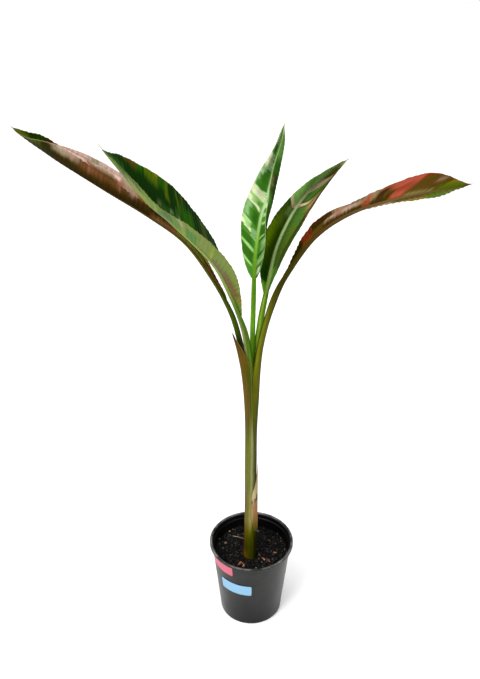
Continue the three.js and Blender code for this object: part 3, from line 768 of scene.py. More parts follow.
random = np.random.default_rng(3)
x, y = scattered(random, GRAINS, 3)
size = random.uniform(0.4, 0.8, GRAINS)
large = slice(0, len(LARGE_GRAINS))
x[large], y[large], size[large] = LARGE_GRAINS.T
points, faces = crumbs(random, size, x, y, GRAIN_SINK)
pale = Finish("pale_grit", Roughness=0.7)
pale.colour(pale.ramp(pale.noise(pale.place(), 60.0), [(0.35, (70, 68, 66)), (0.65, (196, 176, 150))]))
add_piece("pale_grains", points, faces, pale.material, "potting_mix", "soil")


def tube_along(path, radius, sides=10, rows=70):
    """A thin tube along a curve: circles across it, narrower towards both ends."""
    t = np.linspace(0, 1, rows)
    centre = along(path, t)
    ahead = np.gradient(centre, axis=0)
    ahead /= np.linalg.norm(ahead, axis=1, keepdims=True)
    side = np.cross(ahead, [0, 0, 1.0])
    side /= np.linalg.norm(side, axis=1, keepdims=True)
    up = np.cross(side, ahead)
    angle = np.linspace(0, 2 * np.pi, sides, endpoint=False)[None, :, None]
    thin = (radius * (0.45 + 0.55 * np.sin(np.pi * t)))[:, None, None]
    return centre[:, None] + thin * (side[:, None] * np.cos(angle) + up[:, None] * np.sin(angle))


ROOT_RADIUS, ROOT_LIFT = 0.55, 1.1
ROOT_PLACES = np.array([(-12, 27), (-20, 30), (-28, 33), (-35, 35), (-42, 39)], float)
root_path = np.column_stack([ROOT_PLACES, soil_height(*ROOT_PLACES.T) + ROOT_LIFT])
points, faces = closed_tube(tube_along(root_path, ROOT_RADIUS)[:, ::-1])
root = Finish("dead_root", Roughness=0.7)
root.colour(root.ramp(root.noise(root.place(), 90.0), [(0.35, (64, 54, 44)), (0.7, (176, 160, 132))]))
add_piece("washed_root", points, faces, root.material, "potting_mix", "soil")

# %% [markdown]
# ## The corm
#
# The corm is the swollen base that all the sheaths grow from. It sits under the surface, so its CAD
# solid stays as it is and only gets a skin: dry, fibrous and brown.

# %% Corm skin
corm = Finish("corm_skin", Roughness=0.85)
fibres = corm.noise(corm.stretched(corm.place(), (1, 1, 0.2)), 420.0, 4.0)
corm.colour(corm.ramp(fibres, [(0.3, (96, 68, 44)), (0.7, (170, 132, 92))]))
corm.relief(fibres, 0.5)
corm_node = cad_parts["corm"]
corm_node.data.materials.clear()
corm_node.data.materials.append(corm.material)
print("corm keeps its CAD solid")

# %% [markdown]
# ## How a banana leaf is built
#
# A leaf grows from the corm as a rolled sheath, narrows into a channelled stalk, and runs on as the
# midrib of the blade. The blade is two half blades that hang from the midrib, and each is folded at
# the midrib and curls towards its margin. So a leaf is a midrib curve in space, a width that changes
# along it, and two angles for each half. The lists below are the CAD model's own, so the dressed leaf
# lies exactly on the solid one.

# %% Leaf dimensions
LEAVES = {
    "centre_leaf": {
        "azimuth": 90, "sheath": 3.6, "stalk": (3.9, 2.4, 4, 2.8), "keel": (2.8, 3),
        "start": 0.715, "outline": (0.76, 0.76), "roll": [-8, -7, -8, -17, -37],
        "path": [(-1, -5, 440), (-1, -4.5, 500), (-0.8, -2, 557), (0, 2, 604), (0.9, 8, 645),
                 (2.3, 14, 671), (8.5, 26, 715), (17, 36, 743), (27, 50, 784), (41, 70, 838)],
        "left": (34, [29, 23, 23, 31, 39], [17, 16, 20, 31, 46]),
        "right": (33, [57, 44, 34, 20, -10], [14, 60, 122, 182, 234]),
    },
    "mid_right_leaf": {
        "azimuth": 48, "sheath": 4.8, "stalk": (4.9, 2.8, 5, 3.2), "keel": (3.2, 3.6),
        "start": 0.688, "outline": (0.86, 0.96), "roll": [-35, -39, -42, -37, -36],
        "path": [(-0.5, -5, 440), (1.5, -4, 490), (5.5, -1, 530), (11, 5, 572), (18, 14, 608),
                 (31, 32, 667), (50, 48, 708), (70, 60, 735), (94, 74, 755), (133, 95, 778)],
        "left": (35.5, [51, 41, 46, 63, 80], [20, 13, 17, 33, 50]),
        "right": (38, [24, -4, -18, 1, 46], [116, 157, 163, 118, 64]),
    },
    "near_left_leaf": {
        "azimuth": 200, "sheath": 6, "stalk": (5, 5.4, 6.4, 5.4), "keel": (3.6, 4.2),
        "start": 0.595, "outline": (1.06, 0.74), "roll": [-9, 3, 16, 26, 5],
        "path": [(-2, -6.5, 440), (-3.2, -8, 489), (-6.6, -11, 529), (-13.3, -15, 570),
                 (-31, -26, 628), (-55, -40, 685), (-103, -57, 746.5), (-134, -67, 781),
                 (-166, -78, 829.5), (-186, -85, 862)],
        "left": (48, [30, 32, 39, 37, 15], [-1, 0, 4, 8, 8]),
        "right": (48, [19, 23, 24, 32, 22], [-8, -9, -6, -2, -14], (0.62, 0.72)),
    },
    "far_left_leaf": {
        "azimuth": 172, "sheath": 7.2, "stalk": (4.8, 3.6, 5.8, 3.2), "keel": (3.6, 4.2),
        "start": 0.571, "outline": (0.94, 0.58), "roll": [-7, 0, 2, 14, 30],
        "path": [(-3, -6, 440), (-8.5, -6, 487), (-17, -3, 535), (-30.5, 4, 583), (-57.5, 12, 635),
                 (-94.5, 24, 684), (-146, 40, 717), (-206, 55, 749), (-268, 68, 785.5),
                 (-329, 80, 829)],
        "left": (37, [110, 107, 89, 74, 44], [100, 96, 86, 61, 14]),
        "right": (37, [105, 102, 83, 81, 73], [74, 66, 47, 41, 35]),
    },
    "far_right_leaf": {
        "azimuth": -10, "sheath": 8.8, "stalk": (5, 3.4, 7.6, 3.8), "keel": (3.4, 4),
        "start": 0.653, "outline": (0.76, 0.42), "roll": [41, 47, 71, 75, 46],
        "path": [(0.9, -6.5, 440), (3.3, -7, 488), (8, -9, 537), (17.5, -12, 584), (31.5, -15, 628),
                 (47.8, -18, 662), (80.3, -26, 716), (124, -38, 754), (180, -49, 779),
                 (235, -56, 794), (270, -58, 802)],
        "left": (27, [109, 80, 45, 21, 6], [115, 101, 68, 36, 9]),
        "right": (27, [122, 83, 64, 41, -9], [109, 93, 75, 45, 2]),
    },
}
FOOT = 88  # height where the sheaths start
TRUNK_HEIGHTS = (FOOT, 200, 310, 380)  # heights of the trunk's own points
MIDRIB_POINTS = 3001
AHEAD = 1.5  # millimetres to each side of a place, for the direction of the curve there
FLARE, FLARE_TOP = 0.2, 250  # the foot is wider by this share, up to this height
SHEATH_END, STALK_START = 430, 530
print(len(LEAVES), "leaves")

# %% [markdown]
# The midrib starts in the middle of the trunk, so its first four points are the trunk's own. After
# that it is sampled finely once, and every later question, such as where the point at a distance is
# or which distance reaches a height, is a look along that table.

# %% Midrib curves


class Midrib:
    """The curve of a leaf from the corm to its tip, with a frame of directions at any distance."""

    def __init__(self, path, azimuth=0):
        trunk = [(TRUNK_X, TRUNK_Y, z) for z in TRUNK_HEIGHTS]
        self.points = along(np.array(trunk + path, float), np.linspace(0, 1, MIDRIB_POINTS))
        steps = np.linalg.norm(np.diff(self.points, axis=0), axis=1)
        self.distances = np.concatenate([[0], np.cumsum(steps)])
        self.length = self.distances[-1]
        turn = math.radians(azimuth)
        self.side = np.array([math.sin(turn), -math.cos(turn), 0])

    def at(self, distance):
        """The point at each distance."""
        return np.stack([np.interp(distance, self.distances, self.points[:, k]) for k in range(3)], axis=-1)

    def at_height(self, height):
        """The distance at which the curve reaches a height."""
        return np.interp(height, self.points[:, 2], self.distances)

    def frame(self, distance, roll):
        """The point, the direction to the right half and the upper face's direction, turned by roll.

        Across is the level side direction less its share along the curve. Up is across times tangent.
        Roll turns both: across cos + up sin, and up cos - across sin."""
        tangent = self.at(distance + AHEAD) - self.at(distance - AHEAD)
        tangent /= np.linalg.norm(tangent, axis=-1, keepdims=True)
        across = self.side - (tangent @ self.side)[..., None] * tangent
        across /= np.linalg.norm(across, axis=-1, keepdims=True)
        up = np.cross(across, tangent)
        cosine, sine = np.cos(np.radians(roll))[..., None], np.sin(np.radians(roll))[..., None]
        return self.at(distance), across * cosine + up * sine, up * cosine - across * sine


for name, leaf in LEAVES.items():
    leaf["midrib"] = Midrib(leaf["path"], leaf["azimuth"])
    leaf["from"] = leaf["midrib"].length * leaf["start"]
    print(name, round(leaf["midrib"].length), "mm along the midrib")

# %% [markdown]
# ## Sheath, stalk and midrib
#
# Cut across low down, a leaf is a round sheath. Higher up it is a half round with a channel on top,
# and under the blade it is a keel. One section that changes from knot to knot makes all three, and
# carrying it along the midrib curve makes the whole body in one grid. A Bevel curve would twist and
# cannot change its section, so the grid is computed directly.

# %% Stalk surface
STALK_SIDES, STALK_ROWS = 48, 300
ROLL_IN = 80  # the roll of the blade sets in over this distance before it
KEEL_IN = 40  # the stalk turns into the keel between this far before the blade and this far up it
SLIM = 0.93  # the stalk's measures shrink by this factor before the blade starts
KEEL_LEVEL = -0.4  # the keel lies this much below the blade
KEEL_TOP, KEEL_TIP = 0.5, (0.5, 0.3, 0.6)  # how high the keel is on top, and its measures at the tip
CHANNEL_SHARE = 0.5  # how wide the channel is, as a share of the half width
STALK_END = 0.99  # the stalk ends this far along the midrib, inside the blade's tip


def stalk_surface(leaf):
    """Rings from the corm to the tip, and for each point its distance and its place round the ring.

    A ring is half * cos across, and level + (top or bottom) * sin upwards, less the channel's depth
    times exp(-(cos / its share) ** 2). Between knots every measure changes by the smooth step."""
    midrib, begin = leaf["midrib"], leaf["from"]
    half, top, bottom, channel = leaf["stalk"]
    r, wide, keel = leaf["sheath"], leaf["sheath"] * (1 + FLARE), leaf["keel"]
    heights = [midrib.at_height(z) for z in (FLARE_TOP, SHEATH_END, STALK_START)]
    stops = np.array([0, *heights, begin - KEEL_IN, begin + KEEL_IN, midrib.length])
    knots = np.array([
        (wide, wide, wide, 0, 0), (r, r, r, 0, 0), (r, r, r, 0, 0), (half, top, bottom, channel, 0),
        (SLIM * half, SLIM * top, SLIM * bottom, SLIM * channel, 0),
        (keel[0], KEEL_TOP, keel[1], 0, KEEL_LEVEL), (*KEEL_TIP, 0, KEEL_LEVEL),
    ])
    distance = np.linspace(0, midrib.length * STALK_END, STALK_ROWS)
    i = np.clip(np.searchsorted(stops, distance, side="right") - 1, 0, len(stops) - 2)
    u = smooth((distance - stops[i]) / (stops[i + 1] - stops[i]))[:, None]
    half, top, bottom, channel, level = (knots[i] + (knots[i + 1] - knots[i]) * u).T[:, :, None]
    share = (distance - begin) / (midrib.length - begin)
    roll = along(leaf["roll"], share) * smooth((distance - begin + ROLL_IN) / ROLL_IN)
    point, across, up = midrib.frame(distance, roll)
    angle = -2 * np.pi * np.arange(STALK_SIDES) / STALK_SIDES
    cosine, sine = np.cos(angle), np.sin(angle)
    groove = np.where(sine > 0, channel * np.exp(-((cosine / CHANNEL_SHARE) ** 2)), 0)
    rise = level + np.where(sine > 0, top, bottom) * sine - groove
    rings = point[:, None] + (half * cosine)[..., None] * across[:, None] + rise[..., None] * up[:, None]
    return rings, np.broadcast_to(distance[:, None], rise.shape), np.broadcast_to(angle, rise.shape)


# %% [markdown]
# ## The half blades
#
# Across a half blade the surface leaves the midrib nearly level, reaches its fold angle within a few
# millimetres, and curls on from there. Adding up short steps in the direction of that angle gives the
# section, and doing so for every row at once gives the blade. Three things are then laid over it along
# its normals: pleats that follow the side veins, a slow buckle, and a wave of the margin.

# %% Blade surface
CREASE = 6  # millimetres from the midrib over which a half blade reaches its fold angle
BASE_FLARE, BASE_SHARE = 1, 0.12  # millimetres, and the share of the blade that the flare takes
TIP_SHARE, NARROWEST = 0.12, 0.4  # share that the drawn tip takes, and its half width in millimetres
BLADE_ROWS, BLADE_STEPS = 330, 44
FINE_STEPS = 4  # steps that are added up for each one that is kept


def blade_width(full, outline, t):
    """t to the p times (1 - t) to the q, as a share of its highest value, times the full half width.

    The tip is drawn out by a square root, and a small flare joins the base to the stalk."""
    p, q = outline
    peak = p / (p + q)
    shape = np.maximum(t, 1e-4) ** p * (1 - t) ** q / (peak**p * (1 - peak) ** q)
    shape = shape * np.sqrt(smooth((1 - t) / TIP_SHARE))
    return np.maximum(full * shape, NARROWEST) + BASE_FLARE * (1 - smooth(t / BASE_SHARE))


def half_section(leaf, half, t):
    """Out and rise of a half blade at every t and every step from the midrib to the margin.

    The angle is fold times the smooth step of (distance out / crease), plus curl times the share out.
    Out is the running sum of cos(angle) and rise that of sin(angle), each times the step's length."""
    full, fold, curl, outline = (*half, leaf["outline"])[:4]
    width = blade_width(full, outline, t)[:, None]
    steps = BLADE_STEPS * FINE_STEPS
    u = (np.arange(steps) + 0.5) / steps
    fold, curl = np.radians(along(fold, t))[:, None], np.radians(along(curl, t))[:, None]
    angle = fold * smooth(u * width / CREASE) + curl * u
    step = width / steps

    def added_up(way):
        return np.pad(np.cumsum(way * step, axis=1), ((0, 0), (1, 0)))[:, ::FINE_STEPS]

    return added_up(np.cos(angle)), added_up(np.sin(angle)), width


def blade_surface(leaf):
    """The middle surface from base to tip and from the left margin to the right one.

    With it come the distance up the blade, the signed distance out and the half width, in mm."""
    midrib, begin = leaf["midrib"], leaf["from"]
    t = np.linspace(0, 1, BLADE_ROWS)
    up_blade = (midrib.length - begin) * t
    point, across, up = midrib.frame(begin + up_blade, along(leaf["roll"], t))
    share = np.linspace(-1, 1, 2 * BLADE_STEPS + 1)
    halves = []
    widths = []
    for sign, side in ((-1, "left"), (1, "right")):
        out, rise, width = half_section(leaf, leaf[side], t)
        place = point[:, None] + sign * out[..., None] * across[:, None] + rise[..., None] * up[:, None]
        halves.append(place[:, ::sign])
        widths.append(np.broadcast_to(width, (len(t), BLADE_STEPS + 1)))
    surface = np.concatenate([halves[0], halves[1][:, 1:]], axis=1)
    width = np.concatenate([widths[0], widths[1][:, 1:]], axis=1)
    return surface, up_blade[:, None] + 0 * width, share * width, width


def normals(surface):
    """Unit normals of the upper face: the way to the right times the way to the tip."""
    normal = np.cross(np.gradient(surface, axis=1), np.gradient(surface, axis=0))
    return normal / np.maximum(np.linalg.norm(normal, axis=-1, keepdims=True), 1e-9)


# %% [markdown]
# ## Veins
#
# Side veins leave the midrib at a slant and run nearly straight to the margin. Every mark on a
# variegated leaf follows them: the cream sectors, the pink stripes, the pleats. So each point of a
# half blade gets a vein number, the place up the midrib where its own vein starts. A mark is then
# simply a range of vein numbers and a range of distances out.

# %% Vein numbers
SLANTS = {  # how far a vein climbs for each millimetre that it runs out, from the base to the tip
    "centre_leaf": ([0.95, 0.86, 0.5, 0.32, 0.4], [1.0, 0.9, 0.6, 0.5, 0.5]),
    "mid_right_leaf": ([0.5, 0.4, 0.3, 0.3, 0.4], [1.2, 1.2, 1.2, 1.2, 1.2, 1.4, 3.0, 3.2, 3.0]),
    "near_left_leaf": ([0.7, 0.68, 0.75, 0.85, 0.9], [0.8, 0.75, 0.75, 0.8, 0.9]),
    "far_left_leaf": ([0.6, 0.45, 0.35, 0.35, 0.6], [0.6, 0.45, 0.35, 0.35, 0.6]),
    "far_right_leaf": ([0.6, 0.5, 0.3, 0.2, 0.5], [1, 1, 0.5, 0.4, 0.4, 0.6, 1.6, 1.8, 1.5]),
}


FIRST_VEIN = {  # millimetres up the blade where the first full side vein leaves the midrib
    "centre_leaf": 12, "mid_right_leaf": 8, "near_left_leaf": 21, "far_left_leaf": 26,
    "far_right_leaf": 0,
}


def vein_numbers(leaf_name, up_blade, out):
    """The distance past the first vein less the slant at that height times the distance out."""
    left, right = SLANTS[leaf_name]
    t = up_blade / up_blade.max()
    slant = np.where(out < 0, along(left, t), along(right, t))
    return up_blade - FIRST_VEIN[leaf_name] - slant * np.abs(out)


# %% [markdown]
# ## Painting along the veins
#
# The colours of a variegated leaf lie in sectors with sharp sides and frayed ends. A mark is written
# as a colour, a half, a range of veins and a range out from the midrib, both in millimetres, and how
# soft its edge is. A noise that is long along the veins and short across them frays every edge. Then
# each half takes a factor of painted light and shade, which makes it lighter or darker as the light
# falls on it. Fine streaks and the veins themselves come later, from the material.

# %% Marks
PALETTE = {
    "leaf_green": (70, 126, 40), "fresh_green": (96, 148, 34), "deep_green": (44, 68, 6),
    "dark_green": (22, 58, 4), "glow_green": (44, 100, 10), "fern": (52, 100, 26), "olive": (84, 82, 6),
    "dark_olive": (54, 50, 4), "mid_green": (94, 146, 62), "grey_green": (92, 116, 60),
    "moss": (66, 84, 22), "silver_green": (132, 172, 112), "pale_green": (156, 194, 122),
    "pale_cream": (204, 224, 166), "cream": (236, 242, 190), "light_green": (112, 150, 58),
    "silver_white": (172, 194, 152), "yellow_green": (150, 164, 66), "warm_green": (136, 152, 74),
    "leaf_olive": (86, 112, 8), "bright_olive": (122, 127, 40), "dull_green": (56, 88, 34),
    "apple_green": (122, 172, 84), "dusky_rose": (130, 116, 82), "dusk": (130, 112, 92),
    "pink_tan": (178, 144, 120), "pink": (176, 114, 86), "blush": (204, 170, 150),
    "peach": (226, 194, 172), "pale_blush": (255, 216, 198), "clay": (128, 98, 62),
    "russet": (78, 58, 17), "umber": (51, 38, 6), "pink_red": (158, 72, 46), "rose_red": (190, 88, 66),
    "red_brown": (140, 90, 52), "orange_red": (132, 54, 24), "tan": (164, 134, 98),
    "brown": (96, 70, 24), "dark_brown": (68, 46, 14), "straw": (184, 172, 136), "khaki": (150, 132, 80),
    "white_streak": (190, 206, 176), "sea_green": (60, 104, 46), "gold": (150, 126, 30),
}
BRIGHTEST = 0.95  # no leaf gives back more light than this
HALVES = 4  # millimetres over which the painted light and shade changes from the left half to the right one
LEAF_LIGHT_AND_SHADE = {  # painted light and shade: the factor on the colour of the left and the right half of each face, above 1 painted light and below 1 painted shade
    "centre_leaf": {"upper": (1.34, 0.98), "under": (0.8, 0.56)},
    "mid_right_leaf": {"upper": (1.25, 1.75), "under": (1.0, 1.05)},
    "near_left_leaf": {"upper": (0.8, 0.68), "under": (0.6, 0.65)},
    "far_left_leaf": {"upper": (0.7, 0.6), "under": (0.46, 0.5)},
    "far_right_leaf": {"upper": (0.66, 0.66), "under": (0.74, 0.58)},
}


def painted(leaf_name, base, marks, up_blade, out, seed):
    """The colour of every point: the base colour with each mark laid over it in turn.

    A mark covers veins v0 to v1 and distances out u0 to u1. Its share is the product of four smooth
    steps, one at each edge. The two vein edges are as soft as the mark says and are moved by the fray.
    The two ends are softer, and a noise that changes from vein to vein makes them end like strokes."""
    vein = vein_numbers(leaf_name, up_blade, out)
    shades = np.broadcast_to(pigment(PALETTE[base]), (*out.shape, 3))
    reach = np.abs(out)
    for number, (name, side, v0, v1, u0, u1, soft) in enumerate(marks):
        end = 3 + 0.8 * soft
        fray = 0.9 * noise(vein * 0.55, reach * 0.09 + 9 * number, seed)
        fray = (fray + 0.6 * noise(vein * 1.3, reach * 0.16, seed + 1)) * (0.8 + soft * 0.3)
        stroke = 2.4 * noise(vein * 0.9, reach * 0.05 + 5 * number, seed + 2)
        share = band(vein, v0, v1, soft, fray) * band(reach, u0, u1, end, stroke)
        share *= {"left": out <= 0, "right": out >= 0, "both": True}[side]
        shades = laid_over(shades, share, pigment(PALETTE[name]))
    return shades


def lit_and_shaded(leaf_name, face, paint, out):
    """The paint of a face times the painted light and shade of each half, with a smooth change over the
    midrib.
    """
    left, right = LEAF_LIGHT_AND_SHADE[leaf_name][face]
    tone = left + (right - left) * smooth(out / HALVES + 0.5)
    return np.minimum(paint * tone[..., None], BRIGHTEST)


